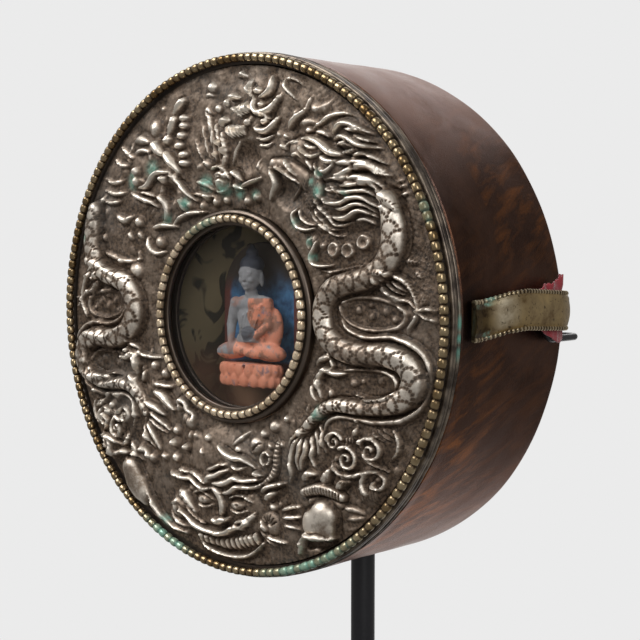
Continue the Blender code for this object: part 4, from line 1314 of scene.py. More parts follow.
def mask_teeth(plate):
    """A row of long teeth with a groove beside each."""
    for step in range(12):
        t = step / 11
        x = -10.2 + 18 * t
        top = -52.4 - 0.4 * math.sin(math.pi * t) + 2.2 * max(t - 0.45, 0.0) / 0.55
        drop = 3.3 - 1.2 * abs(t - 0.5)
        plate.stroke([(x - 0.2, top), (x, top - drop / 2), (x + 0.2, top - drop)], 0.55, 1.7, 0.6)
        plate.stroke([(x + 0.6, top + 0.2), (x + 1, top - drop)], 0.25, -1.1)


def mask_jewels(plate):
    """Beads and a curl over the mask's crest."""
    for x, z, size in ((7.8, -29.6, 2.2), (-7, -29, 1.1), (13.4, -24.6, 1.6), (17.4, -22.6, 1.0),
                       (10.2, -26.6, 1.2), (-19, -31.2, 1.1), (-15, -32, 0.9)):
        plate.boss(x, z, size, 1.5, power=0.8)
    plate.spiral(11, -32.4, 1.5, 0.95, 0.1, 0.5, 1.3, inner=0.9)
    plate.stroke([(6.8, -31), (8.2, -29.6), (9.6, -28.8)], 0.35, -0.8)
    plate.stroke([(1, -30.2), (3, -28.4), (5.6, -26.6)], 0.8, 0.8)


def mask_braid(plate):
    """A plaited strand between the mask and the dragon's tail."""
    braid = [(14.8, -28.6, 0.7), (14.3, -31.4, 0.95), (14.2, -34, 1.0), (13, -36.2, 0.95),
             (10.8, -38, 0.7)]
    plate.tube(braid, 1.8)
    path = smooth_path(braid, 5)
    for place, ahead in zip(path[::2, :2], path[1::2, :2]):
        along = (ahead - place) / np.linalg.norm(ahead - place)
        across = np.array([-along[1], along[0]])
        plate.stroke([place - across * 1.0, place + across * 1.0], 0.2, -0.7)


GROUND_MARKS = 170
GROUND_INNER, GROUND_OUTER = 29.0, 56.5


def ground_work(plate):
    """Low scrolls that fill the ground between the figures."""
    marks = np.random.default_rng(21)
    for _ in range(GROUND_MARKS):
        turn = marks.uniform(0, TAU)
        radius = math.sqrt(marks.uniform(GROUND_INNER ** 2, GROUND_OUTER ** 2))
        x, z = radius * math.cos(turn), radius * math.sin(turn)
        heading, bend = marks.uniform(0, TAU, 2)
        reach = marks.uniform(1.2, 3.2)
        tip = (x + reach * math.cos(heading), z + reach * math.sin(heading))
        mid = ((x + tip[0]) / 2 + 0.5 * math.cos(bend), (z + tip[1]) / 2 + 0.5 * math.sin(bend))
        plate.stroke([(x, z), mid, tip], marks.uniform(0.5, 1.1), marks.uniform(0.3, 0.85))


# Patches of verdigris, as (x, z, size).
STAINS = (
    (25.6, 30.4, 1.3), (27.4, 28.4, 1.7), (27.2, -20.4, 1.9), (-8.4, 31.4, 2.4),
    (-2.2, 29.8, 2.2), (2.4, 29, 1.9), (24.6, 14, 1.5), (23.8, 17.4, 1.3), (-26.6, 35.4, 2.6),
    (-34.4, 33, 2.6), (-15.8, 26.6, 1.8), (-22, 23.4, 1.8), (35.6, 27.4, 1.3),
    (27.8, 32.4, 1.2), (7.4, 28.2, 1.5), (-52, 18.6, 1.8), (-24, -51.6, 1.8), (19.4, 21.6, 1.4),
)
# Places that hands have rubbed bright, lit further by painted highlights, and places left darker,
# in hollows and, over the left dragon's coils, as painted shade, as (x, z, size, amount).
RUBBED_AND_HIGHLIGHTS = (
    (4, 47.5, 9, 1.7), (3, 32.5, 5, 0.6), (-20, 38, 7, 0.6), (28, 39, 6, 0.8), (40, 31, 8, 0.3),
    (47, 24, 5, 0.7), (28, 0, 5, 0.5), (50, -10, 6, 0.6), (30, -19, 8, 0.5), (24, -28, 5, 0.7),
    (26, -44, 4, 0.6), (5, -33, 5, 0.5), (10, -47, 5, 0.3), (-34, 10, 4, 0.8),
    (-36, -22, 8, 0.3),
)
DARKENED_SPOTS = (
    (27.5, -51.8, 4, 1.0), (5, 37, 4, 0.3), (2, 27.5, 7, 0.3), (23, 25, 5, 0.5),
    (41, -13, 6.5, 0.6), (41.5, 1.6, 6.5, 0.6), (38, -27, 8, 0.8), (17, -36, 7, 0.3),
    (-6, -51, 12, 0.2), (36, 16, 7, 0.3), (-43, 3, 8, 0.55), (-44, -12, 8, 0.55),
    (-36, 22, 10, 0.25), (14, -55, 6, 0.3), (-34, -36, 9, 0.2),
)
# The sheet's unevenness, as (wave length, height, seed).
SHEET_WAVES = ((8.0, 0.55, 3), (2.6, 0.22, 4), (1.1, 0.09, 6))
HIGHEST_LIFT = 3.0
EDGE_FADE = 1.2


def worked_plate():
    """The plate with all its figures and stains, places rubbed bright with painted highlights, and
    places left darker, partly as painted shade.
    """
    plate = Relief()
    for length, amount, seed in SHEET_WAVES:
        plate.height += amount * ripple(plate.x, plate.z, length, seed)
    ground_work(plate)
    for figure_part in (dragon_body, dragon_legs, clouds, vase, tail_hair, dragon_head,
                        dragon_mane, left_head, left_tail, top_emblem, mask,
                        mask_cheeks_and_eyes, mask_teeth, mask_jewels, mask_braid):
        figure_part(plate)
    # The left dragon's coils mirror the right one's, pressed closer together.
    plate.map = lambda x, z: (-(0.86 * x + 8.8), z)
    dragon_body(plate)
    dragon_legs(plate)
    clouds(plate)
    plate.map = lambda x, z: (x, z)
    left_coils(plate)
    for place in STAINS:
        plate.stain(*place)
    # Rubbed places, brightened further as painted highlights.
    for place in RUBBED_AND_HIGHLIGHTS:
        plate.rub_and_highlight(*place)
    # Darkened spots: in hollows, and over the left dragon's coils as painted shade.
    for place in DARKENED_SPOTS:
        plate.darken_round(*place)
    return plate


def settle(plate):
    """Ease the relief down at the plate's two edges and over its highest tops."""
    edge = np.minimum((plate.radius - INNER_EDGE) / EDGE_FADE,
                      (PLATE_R - 0.2 - plate.radius) / EDGE_FADE)
    edge = np.clip(edge, 0, 1).ravel() ** 0.7
    lift = plate.height - plate.ground
    lift = np.where(lift > HIGHEST_LIFT, HIGHEST_LIFT + 0.4 * (lift - HIGHEST_LIFT), lift)
    plate.height = plate.ground + lift * edge
    hollow = np.clip(1.2 - lift, 0, 1)
    grain = np.random.default_rng(7).normal(0.0, 1.0, plate.height.size)
    plate.height += 0.03 * grain * hollow
    return edge


def wear(plate, edge):
    """From 0 in the dirt to 1 on the worn tops: how far each point stands above those near it,
    with painted highlights added and painted shade taken off.
    """
    height = plate.height.reshape(plate.radius.shape)
    near = (height - blur(height, 4, 4)).ravel()
    far = (height - blur(height, 14, 14)).ravel()
    # Tops marked bright are lifted: worn silver with painted highlights.
    worn = 0.28 + 0.56 * near + 0.22 * far + 0.22 * plate.bright * edge
    # Rubbed places lifted further: a painted highlight.
    worn += 1.1 * plate.wear_and_highlight * np.clip(near + 0.3 * far, 0, 0.6) * edge
    # The darkened spots, in hollows and, over the left dragon's coils, as painted shade.
    worn -= plate.dirt * np.clip(0.9 - near, 0.2, 1)
    # Darker near both edges of the plate, where it meets the bead ring and the collar: a painted
    # shade.
    worn -= 2.2 * plate.pits + 0.2 * (1 - edge)
    worn += 0.08 * ripple(plate.x, plate.z, 16.0, 5)
    return worn


def embossed_plate():
    """The worked sheet, closed behind by a ring at each edge."""
    plate = worked_plate()
    edge = settle(plate)
    worn = wear(plate, edge)
    front = np.stack([plate.x, plate.z, plate.height], axis=-1)
    front = front.reshape(*plate.radius.shape, 3)
    turn = plate.turn[0]

    def back_ring(radius, level):
        return np.stack([radius * np.cos(turn), radius * np.sin(turn),
                         np.full_like(turn, level)], axis=-1)[None]

    inner = back_ring(INNER_EDGE, -1.1)
    outer = back_ring(PLATE_R, -2.8)
    mesh = grid_mesh("front_plate", world(np.concatenate([inner, front, outer])),
                     wrap_rows=True, sharp=80.0)
    rim = np.full(len(turn), 0.1)
    clean = np.zeros(len(turn))
    paint(mesh, "raised", np.concatenate([rim, worn, rim]))
    paint(mesh, "green", np.concatenate([clean, plate.green, clean]))
    add_piece("embossed_plate", mesh, "cover", plate_look(), "front_plate")


# Beaded wires


BEAD_STEPS, BEAD_SIDES = 8, 12


def beaded_ring(name, radius, wire_r, middle, count, green_spots, look):
    """A ring of beads pressed from one wire, slightly uneven, with dirt between them.

    Each green spot is (middle, half spread) in degrees round the ring.
    """
    columns = count * BEAD_STEPS
    turn = full_turn(columns)
    place = (np.arange(columns) % BEAD_STEPS) / BEAD_STEPS * 2 - 1
    bead = np.arange(columns) // BEAD_STEPS
    size = 1 + 0.05 * np.sin(bead * 2.4) + 0.04 * np.sin(bead * 0.7 + 1)
    swell = np.clip(1 - np.abs(place) ** 2.1, 0, 1) ** 0.5
    minor = wire_r * (0.70 + 0.46 * swell * size)
    angle = full_turn(BEAD_SIDES)
    out = np.cos(angle)[:, None] * minor[None, :]
    up = np.sin(angle)[:, None] * minor[None, :]
    r = radius + out
    points = np.stack([r * np.cos(turn), r * np.sin(turn), middle + up], axis=-1)
    mesh = grid_mesh(name, world(points), wrap_rows=True, sharp=70.0)
    green = np.zeros(columns)
    for centre, spread in green_spots:
        away = np.abs(apart(turn, math.radians(centre)))
        patch = np.clip(1.3 - away / math.radians(spread), 0, 1)
        green = np.maximum(green, patch * (0.7 + 0.3 * np.sin(bead * 1.9)))
    paint(mesh, "raised", np.repeat(swell[None, :] ** 1.2, BEAD_SIDES, axis=0))
    paint(mesh, "green", np.repeat(green[None, :], BEAD_SIDES, axis=0))
    add_piece(name + "_beads", mesh, "cover", look, name)


# Cover rim, collar and glass


RIM_STEPS = 288
RIM_GROOVE = 0.2
RIM_T = 0.8


def rim_uneven(radius, height, turn):
    """The rim's outside is not quite round."""
    wave = 0.05 * np.sin(3 * turn + 1) + 0.05 * np.sin(11 * turn) + 0.03 * np.sin(37 * turn)
    return radius + wave * (radius > SKIRT_R - 0.6), height


def rim_green(heights):
    """A broken line of verdigris on the back of the rim, beside the right strap loop."""
    above = 60.0 * apart(full_turn(RIM_STEPS), 0.0)
    patch = np.clip(1.3 - np.abs(above + 2.0) / 5.0, 0, 1) * (np.sin(above * 1.9) > -0.5)
    deep = np.clip((SKIRT_BACK + 0.3 - heights) / 0.4, 0, 1)
    return deep[:, None] * patch[None, :]


def rim_band():
    """A narrow rolled band with one fine groove."""
    flange = PLATE_R + 0.3
    middle = (SKIRT_FRONT + SKIRT_BACK) / 2
    band = [
        (flange, SKIRT_FRONT - 0.35), (SKIRT_R - 1.1, SKIRT_FRONT - 0.35),
        (SKIRT_R - 0.9, SKIRT_FRONT), (SKIRT_R - 0.25, SKIRT_FRONT),
        (SKIRT_R, SKIRT_FRONT - 0.2), (SKIRT_R, middle + 0.2), (SKIRT_R - RIM_GROOVE, middle),
        (SKIRT_R, middle - 0.2), (SKIRT_R, SKIRT_BACK), (SKIRT_R - RIM_T, SKIRT_BACK),
        (SKIRT_R - RIM_T, SKIRT_FRONT - RIM_T), (flange, SKIRT_FRONT - RIM_T),
    ]
    profile = rounded(band, 0.1, 2)
    mesh = lathe("cover_skirt", profile, RIM_STEPS, rim_uneven)
    outer = (profile[:, 0] > SKIRT_R - 0.08) | (profile[:, 1] > SKIRT_FRONT - 0.1)
    paint(mesh, "raised", np.repeat(outer[:, None] * 0.8, RIM_STEPS, axis=1))
    paint(mesh, "green", rim_green(profile[:, 1]))
    add_piece("cover_rim_band", mesh, "cover", RIM_LOOK, "cover_skirt")


def rim_wire():
    """The wire behind the band."""
    low, high = box_mm("skirt_edge_wire")
    half = (high[2] - low[2]) / 2 + 0.04
    middle = (high[2] + low[2]) / 2
    angle = full_turn(14)
    ring = np.stack([high[0] - half + half * np.cos(angle), middle + half * np.sin(angle)],
                    axis=-1)
    mesh = lathe("skirt_edge_wire", ring, RIM_STEPS, rim_uneven, sharp=70)
    edge = np.clip(np.cos(angle), 0, 1)
    paint(mesh, "raised", np.repeat(edge[:, None], RIM_STEPS, axis=1))
    paint(mesh, "green", rim_green(ring[:, 1]))
    add_piece("rim_edge_wire", mesh, "cover", RIM_LOOK, "skirt_edge_wire")


def collar():
    """The smooth collar: a lip outside the beads, their seat, and the tube that holds the pane."""
    low, high = box_mm("window_collar")
    seat = INNER_WIRE_LOW - 0.2
    tube = box_mm("window_glass")[1][0] + 1.4
    outline = [
        (COLLAR_R, -0.5), (tube, -0.5), (tube, low[2]),
        (tube - 1.1, low[2]), (tube - 1.1, -0.3), (WINDOW_R, -0.3), (WINDOW_R, seat),
        (INNER_BEAD_R + 1.15, seat), (INNER_BEAD_R + 1.45, high[2] - 0.25),
        (COLLAR_R - 0.5, high[2] - 0.35), (COLLAR_R, 0.9),
    ]
    mesh = lathe("window_collar", rounded(outline, 0.3, 3), 192)
    add_piece("window_collar_ring", mesh, "cover", collar_look(), "window_collar")


def pane():
    """A flat round pane with small chamfers."""
    low, high = box_mm("window_glass")
    edge = high[0]
    outline = np.array([
        (0.05, high[2]), (edge * 0.5, high[2]), (edge - 0.15, high[2]), (edge, high[2] - 0.15),
        (edge, low[2] + 0.15), (edge - 0.15, low[2]), (edge * 0.5, low[2]), (0.05, low[2])])
    mesh = disc("window_glass", outline, 96)
    add_piece("window_pane", mesh, "cover", glass_look(), "window_glass")


def plain_ring(node, piece, outline, steps, raised):
    """A ring inside the cover, in the rim's dark metal without verdigris."""
    mesh = lathe(node, rounded(outline, 0.2, 3), steps)
    paint(mesh, "raised", np.full(len(mesh.vertices), raised))
    paint(mesh, "green", np.zeros(len(mesh.vertices)))
    add_piece(piece, mesh, "cover", RIM_LOOK, node)


def inner_rings():
    """The ring that holds the pane, and the sleeve by which the cover locates in the case."""
    low, high = box_mm("glass_retaining_ring")
    outline = [(high[0], high[2]), (high[0], low[2]), (WINDOW_R, low[2]), (WINDOW_R, high[2])]
    plain_ring("glass_retaining_ring", "glass_ring", outline, 128, 0.0)

    low, high = box_mm("cover_sleeve")
    outline = [(high[0], high[2]), (high[0] - 0.1, low[2]), (high[0] - 0.8, low[2]),
               (high[0] - 0.8, high[2])]
    plain_ring("cover_sleeve", "cover_sleeve_band", outline, 256, 0.15)


# Case


WALL_STEPS = 420
WALL_T = 1.0
BACK_CORNER = 1.4
INSIDE_MIDDLE = -25.0
# Dents in the wall, as (angle in degrees, height, size, depth).
DENTS = (
    (50, -22, 9, 0.45), (-52, -30, 10, 0.4), (20, -34, 7, 0.25), (-18, -16, 8, 0.25),
    (70, -36, 6, 0.5), (33, -38, 6, 0.35), (100, -26, 10, 0.4), (200, -20, 9, 0.4),
)


def wall_outline():
    """The wall's outline, and which of its points are on the outside."""
    depths = np.linspace(WALL_FRONT - 0.25, WALL_BACK + BACK_CORNER, 44)
    outer = [(wall_r(depth), depth) for depth in depths]
    corner = [(WALL_R - 1.3 + 1.3 * math.cos(a),
               WALL_BACK + BACK_CORNER - BACK_CORNER * math.sin(a))
              for a in np.linspace(0.3, math.pi / 2, 5)]
    inside = [(WALL_R - 1.02, WALL_BACK + 0.1), (wall_r(INSIDE_MIDDLE) - WALL_T, INSIDE_MIDDLE),
              (WALL_FRONT_R - WALL_T, WALL_FRONT - 0.25), (WALL_FRONT_R - 0.7, WALL_FRONT),
              (WALL_FRONT_R - 0.3, WALL_FRONT)]
    profile = np.array(outer + corner + inside)
    return profile, np.arange(len(profile)) < len(outer) + 3


def case_wall(look):
    """The copper wall, not quite round and with a few dents."""
    profile, is_outer = wall_outline()

    def dented(radius, height, turn):
        wave = 0.22 * np.sin(2 * turn + 0.6) + 0.16 * np.sin(5 * turn + 2 + 0.05 * height)
        wave = wave + 0.16 * np.sin(9 * turn + 0.11 * height)
        wave = wave + 0.10 * np.sin(0.23 * height + 3 * turn)
        wave = wave + 0.05 * np.sin(23 * turn + 0.3 * height) * np.sin(0.4 * height + turn)
        for angle, depth, size, amount in DENTS:
            away = WALL_R * apart(turn, math.radians(angle))
            wave = wave - amount * np.exp(-(away ** 2 + (height - depth) ** 2) / size ** 2)
        fade = np.clip((WALL_FRONT - height) / 3.0, 0.25, 1)
        return radius - 0.12 + (wave * 0.55 - 0.12) * fade * is_outer[:, None], height

    mesh = lathe("case_wall", profile, WALL_STEPS, dented)
    turn = apart((np.arange(WALL_STEPS) + 0.5) * TAU / WALL_STEPS, 0.0)
    around = np.repeat(WALL_R * turn[None, :], len(profile), axis=0)
    height = np.repeat(profile[:, 1:2], WALL_STEPS, axis=1)
    paint(mesh, "around", around + 0.5 * height)
    paint(mesh, "depth", height - 0.35 * around)
    paint(mesh, "warm", wall_warmth(turn, height))
    paint(mesh, "soot", wall_soot(turn, height))
    add_piece("case_wall_shell", mesh, "case", look, "case_wall")


def wall_warmth(turn, height):
    """Where the copper is rubbed orange: low on the right, and a patch above the loop."""
    low_right = bell(np.degrees(turn), -38, 34)[None, :]
    warm = low_right * np.clip(1.3 + (height + 4.5) / 22.0, 0.15, 1)
    warm = warm + 0.6 * bell(np.degrees(turn), 27, 14)[None, :] * (height < -20)
    return np.clip(1.05 * warm + 0.06, 0, 1)


def wall_soot(turn, height):
    """Dark dirt round the front feet of both loops."""
    soot = np.zeros_like(height)
    for place in (0.0, math.pi):
        away = WALL_R * apart(turn, place)[None, :]
        soot = np.maximum(soot, np.exp(-((away - 1.0) / 7.0) ** 2 - ((height + 7.5) / 3.8) ** 2))
    return np.clip(soot * 1.5, 0, 1)


def case_back(look):
    """The back sheet, with a shallow step inside its edge."""
    low, high = box_mm("case_back")
    edge = high[0]
    front, back = high[2], low[2]
    outline = np.array([
        (0.05, front), (edge * 0.5, front), (edge - 0.3, front), (edge, front - 0.3),
        (edge, back + 0.35), (edge - 0.3, back + 0.05), (edge - 2.6, back + 0.05),
        (edge - 3.2, back + 0.3), (edge * 0.72, back + 0.24), (edge * 0.4, back + 0.16),
        (edge * 0.15, back + 0.12), (0.05, back + 0.12)])
    mesh = disc("case_back", outline, 160)
    add_piece("case_back_sheet", mesh, "case", look, "case_back")


# A strap loop's feet, as lengths along the wall in mm, and how its bends run.
FRONT_FOOT, REAR_FOOT = 2.5, 1.2
LOOP_RISE = 4.4
LOOP_GAP = 0.7
# How far a loop's middle line wanders up, by places along it.
LOOP_PLACES, LOOP_LIFTS = (0, 0.07, 0.18, 0.32, 1), (-0.5, 0.1, 1.2, 1.7, 0.6)
LOOP_WIRE_R = 0.6
STRIP_STEPS = 16
MILLED_STEPS, MILLED_SIDES = 6, 12
MILLING_PITCH = 1.1


def loop_track(side, name):
    """A loop's centre line as (x, z, height) in mm, over the CAD strip."""
    low, high = box_mm(f"strap_loop_{name}")
    front, back = high[2] - FRONT_FOOT, low[2] + REAR_FOOT
    middle = (low[1] + high[1]) / 2
    path = []
    for height in np.linspace(high[2], low[2], 61):
        along = np.clip((front - height) / (front - back), 0, 1)
        ahead, behind = np.clip(along / 0.33, 0, 1), np.clip((1 - along) / 0.30, 0, 1)
        rise = math.sin(ahead * math.pi / 2) ** 1.2 * math.sin(behind * math.pi / 2) ** 0.8
        lift = np.interp(along, LOOP_PLACES, LOOP_LIFTS)
        path.append((side * (wall_r(height) + LOOP_GAP + LOOP_RISE * rise), middle + lift,
                     height))
    return np.array(path)


def strap_loop(side, name):
    """A strip crowned outwards, with a low ridge near its upper edge and a wire on each edge."""
    track = loop_track(side, name)
    along = np.linspace(0, 1, len(track))
    half_z = (box_mm(f"loop_edge_wire_{name}_upper")[1][1]
              - box_mm(f"loop_edge_wire_{name}_lower")[0][1]) / 2
    half_strip = half_z - LOOP_WIRE_R
    across = np.linspace(-1, 1, STRIP_STEPS)
    crown = 0.75 * (1 - across ** 2) + 0.16 * bell(across, 0.72, 0.12)
    top = np.stack([0.32 + crown, across * half_strip], axis=-1)
    low = np.stack([np.full(STRIP_STEPS, -0.36), across[::-1] * half_strip], axis=-1)
    section = np.vstack([top, low]) * MM
    node = "strap_loop_" + name
    mesh = sweep_outwards(node, world(track), [section] * len(track), side)

    # A painted highlight across the bend, and a faint one along the rest of the strip.
    bend_highlight = bell(along, 0.20, 0.06) + 0.15 * (along > 0.25)
    raised = np.zeros((len(track), 2 * STRIP_STEPS))
    raised[:, :STRIP_STEPS] = (bend_highlight[:, None]
                               * (1 - np.abs(across[None, :] - 0.15) ** 2).clip(0) ** 0.5)
    corner = bell(along, 0.07, 0.05)[:, None] * (np.abs(across) > 0.7)[None, :]
    dirt = np.clip(2.3 - along / 0.075, 0, 1) + 0.9 * bell(along, 0.96, 0.05)
    paint(mesh, "raised", raised)
    paint(mesh, "green", np.hstack([corner, corner]))
    paint(mesh, "dirt", np.repeat(dirt[:, None], 2 * STRIP_STEPS, axis=1))
    add_piece(node + "_strip", mesh, "case", LOOP_LOOK, node)
    for edge, sign in (("upper", 1.0), ("lower", -1.0)):
        milled_wire(side, f"{name}_{edge}", sign * half_strip, track)


def milled_wire(side, name, offset, track):
    """One of a loop's edge wires, notched all along like twisted wire."""
    places = np.arange(len(track))
    t = np.linspace(0, len(track) - 1, (len(track) - 1) * MILLED_STEPS + 1)
    line = np.stack([np.interp(t, places, track[:, axis]) for axis in range(3)], -1)
    line[:, 1] += offset
    line[:, 0] += side * 0.12
    distance = np.concatenate([[0], np.cumsum(np.linalg.norm(np.diff(line, axis=0), axis=1))])
    notch = 0.5 + 0.5 * np.cos(distance * TAU / MILLING_PITCH)
    notch[: 2 * MILLED_STEPS] *= 0.4
    angle = full_turn(MILLED_SIDES)
    ring = np.stack([np.cos(angle), np.sin(angle)], axis=-1)
    sections = [ring * (LOOP_WIRE_R * (1.0 - 0.30 * deep)) * MM for deep in notch]
    mesh = sweep_outwards("loop_wire_" + name, world(line), sections, side)

    part = distance / distance[-1]
    for mark, values in (("raised", 0.6 * (1 - notch)), ("green", bell(part, 0.09, 0.06)),
                         ("dirt", np.clip(notch * 1.3, 0, 1))):
        paint(mesh, mark, np.repeat(values[:, None], MILLED_SIDES, axis=1))
    add_piece("loop_wire_" + name, mesh, "case", LOOP_LOOK, "loop_edge_wire_" + name)


def sweep_outwards(name, path, sections, side):
    """A sweep. Each section's first value points away from the wall and its second points up."""
    ahead = np.gradient(path, axis=0)
    ahead /= np.linalg.norm(ahead, axis=1, keepdims=True)
    up = np.array([0.0, 0.0, 1.0])
    out = np.cross(up, ahead) * -side
    out[out[:, 0] * side < 0] *= -1
    out /= np.linalg.norm(out, axis=1, keepdims=True)
    rows = [place + section[:, :1] * away + section[:, 1:2] * up
            for place, section, away in zip(path, sections, out)]
    return grid_mesh(name, np.array(rows), wrap_rows=False, caps=True, sharp=50)


# The cloth's outline as (height, lowest z, highest z) in mm.
CLOTH_OUTLINE = ((-27.2, -1.0, 6.8), (-29.6, -2.6, 8.0), (-34.6, -4.8, 8.5), (-37.0, -5.2, 9.9),
                 (-38.8, -5.0, 10.1), (-40.4, -4.4, 9.5), (-42.0, -3.6, 6.4))
CLOTH_ROWS, CLOTH_COLUMNS = 30, 36
CLOTH_BEHIND_LOOP = 1.15
CLOTH_T = 0.35
# Above this the cloth stands free of the loop.
CLOTH_FREE_Z = 5.8


def red_cloth():
    """A scrap of cloth stuffed between the right loop and the wall, its top edge standing up."""
    outline = np.array(CLOTH_OUTLINE)
    track = loop_track(1.0, "right")
    grid = np.zeros((CLOTH_ROWS, CLOTH_COLUMNS, 3))
    first, last = outline[0, 0], outline[-1, 0]
    for j in range(CLOTH_COLUMNS):
        height = first + (last - first) * j / (CLOTH_COLUMNS - 1)
        lowest = np.interp(-height, -outline[:, 0], outline[:, 1])
        highest = np.interp(-height, -outline[:, 0], outline[:, 2]) + 0.25 * math.sin(2.1 * j)
        loop_x = np.interp(-height, -track[:, 2], track[:, 0])
        for i in range(CLOTH_ROWS):
            up = i / (CLOTH_ROWS - 1)
            z = lowest + (highest - lowest) * up
            fold = 0.16 * math.sin(0.9 * height + 3.0 * up) + 0.10 * math.sin(2.3 * height)
            free = 0.5 * np.clip((z - CLOTH_FREE_Z) / 2.0, 0, 1) * math.sin(1.3 * height)
            grid[i, j] = (loop_x - CLOTH_BEHIND_LOOP + fold + free, z, height)
    index = np.arange(CLOTH_ROWS * CLOTH_COLUMNS).reshape(CLOTH_ROWS, CLOTH_COLUMNS)
    quads = np.stack([index[:-1, :-1], index[1:, :-1], index[1:, 1:], index[:-1, 1:]], -1)
    mesh = bpy.data.meshes.new("red_cloth")
    mesh.from_pydata(world(grid).reshape(-1, 3).tolist(), [], quads.reshape(-1, 4).tolist())
    mesh.shade_smooth()
    made = add_piece("red_cloth_scrap", mesh, "case", cloth_look(), "red_cloth_right")
    solid = made.modifiers.new("Thickness", "SOLIDIFY")
    solid.thickness = CLOTH_T * MM
    solid.offset = 0.0


# Shrine


CLAY_VOXEL = 0.24


def ball_template(segments=20, rings=12):
    """A unit ball's corners and faces."""
    bm = bmesh.new()
    bmesh.ops.create_uvsphere(bm, u_segments=segments, v_segments=rings, radius=1.0)
    corners = np.array([tuple(vert.co) for vert in bm.verts])
    faces = [[vert.index for vert in face.verts] for face in bm.faces]
    bm.free()
    return corners, faces


def blob_mesh(name, shapes, voxel, smoothing=4):
    """Ellipsoids of (centre, radii, direction of their long axis) melted into one skin."""
    corners, faces = ball_template()
    all_corners, all_faces = [], []
    for count, (centre, radii, tilt) in enumerate(shapes):
        turn = np.array(Vector((0, 0, 1)).rotation_difference(Vector(tilt)).to_matrix())
        all_corners.append(corners * radii @ turn.T + np.array(centre))
        all_faces += [[corner + count * len(corners) for corner in face] for face in faces]
    mesh = bpy.data.meshes.new(name)
    mesh.from_pydata(np.concatenate(all_corners).tolist(), [], all_faces)
    made = add_object(name + "_clay", mesh)
    remesh = made.modifiers.new("Melt", "REMESH")
    remesh.mode = "VOXEL"
    remesh.voxel_size = voxel
    soften = made.modifiers.new("Soften", "SMOOTH")
    soften.iterations = smoothing
    soften.factor = 0.5
    graph = bpy.context.evaluated_depsgraph_get()
    out = bpy.data.meshes.new_from_object(made.evaluated_get(graph))
    bpy.data.objects.remove(made)
    return out


def limb(start, end, radii, steps=7):
    """Overlapping balls along a line, from one radius to another."""
    start, end = np.array(start), np.array(end)
    shapes = []
    for step in range(steps):
        t = step / (steps - 1)
        size = radii[0] * (1 - t) + radii[1] * t
        shapes.append((tuple(start * (1 - t) + end * t), (size, size, size), (0, 0, 1)))
    return shapes


UP = (0.0, 0.0, 1.0)
# The figure's parts, in mm as ((x, depth, z), radii, direction of the long axis).
TORSO = [
    ((0, 0.5, -0.8), (4.3, 2.0, 5.2), UP),
    ((0, 0.4, 2.8), (5.4, 1.9, 2.3), UP),
    ((0, 0.2, -6.0), (4.6, 2.2, 3.0), UP),
    ((0, 0.2, 5.2), (1.7, 1.5, 1.7), UP),
]
# Head, jaw, hair, topknot and long ears.
HEAD = [
    ((0, 0, 9.9), (3.05, 2.7, 3.7), UP),
    ((0, -0.5, 7.9), (2.2, 1.9, 2.2), UP),
    ((0, 0.5, 12.0), (3.25, 2.7, 2.4), UP),
    ((0, 0.6, 14.7), (1.6, 1.5, 1.6), UP),
    ((0, 0.6, 16.1), (0.7, 0.7, 0.8), UP),
    ((3.1, 0.5, 8.6), (0.5, 0.7, 1.9), UP),
    ((-3.1, 0.5, 8.6), (0.5, 0.7, 1.9), UP),
]
# Nose, brow, lids, cheeks, lips and chin.
FACE = [
    ((0, -2.55, 9.1), (0.36, 0.45, 0.95), UP),
    ((0, -2.75, 8.45), (0.52, 0.4, 0.32), UP),
    ((1.15, -2.35, 10.35), (1.0, 0.35, 0.22), (0.12, 0, 1)),
    ((-1.15, -2.35, 10.35), (1.0, 0.35, 0.22), (-0.12, 0, 1)),
    ((1.15, -2.25, 9.65), (0.75, 0.42, 0.36), UP),
    ((-1.15, -2.25, 9.65), (0.75, 0.42, 0.36), UP),
    ((1.4, -1.7, 8.5), (0.9, 0.8, 0.9), UP),
    ((-1.4, -1.7, 8.5), (0.9, 0.8, 0.9), UP),
    ((0, -2.3, 7.45), (0.85, 0.4, 0.22), UP),
    ((0, -2.25, 7.1), (0.65, 0.42, 0.24), UP),
    ((0, -1.95, 6.4), (0.7, 0.5, 0.45), UP),
]
CROSSED_LEGS = [
    ((5.4, 0, -8.3), (5.4, 2.4, 2.2), (0.12, 0, 1)),
    ((-5.4, 0, -8.3), (5.4, 2.4, 2.2), (-0.12, 0, 1)),
    ((2.6, -1.3, -8.7), (4.2, 1.2, 1.3), UP),
    ((-2.6, -1.1, -8.1), (4.2, 1.2, 1.2), UP),
]
# The bowl in the lap, and the hand that holds it.
BOWL = [
    ((0.6, -1.9, -4.3), (1.9, 1.3, 1.35), UP),
    ((0.6, -1.9, -3.5), (2.05, 1.35, 0.3), UP),
    ((1.0, -1.6, -5.7), (2.2, 1.2, 0.7), UP),
]
# The robe over one shoulder, with its hanging sleeve.
ROBE = [
    ((6.2, 0.9, -3.2), (3.0, 1.4, 5.2), (0.1, 0, 1)),
    ((3.6, 0.3, 1.4), (2.6, 2.1, 3.6), (-0.3, 0, 1)),
]
BARE_SHOULDER, BARE_ELBOW, BARE_WRIST = (-4.9, 0.2, 3.0), (-6.1, -0.1, -2.2), (-5.2, -1.5, -7.0)
BARE_HAND = [((-5.0, -2.0, -8.0), (0.9, 0.5, 1.3), UP)]


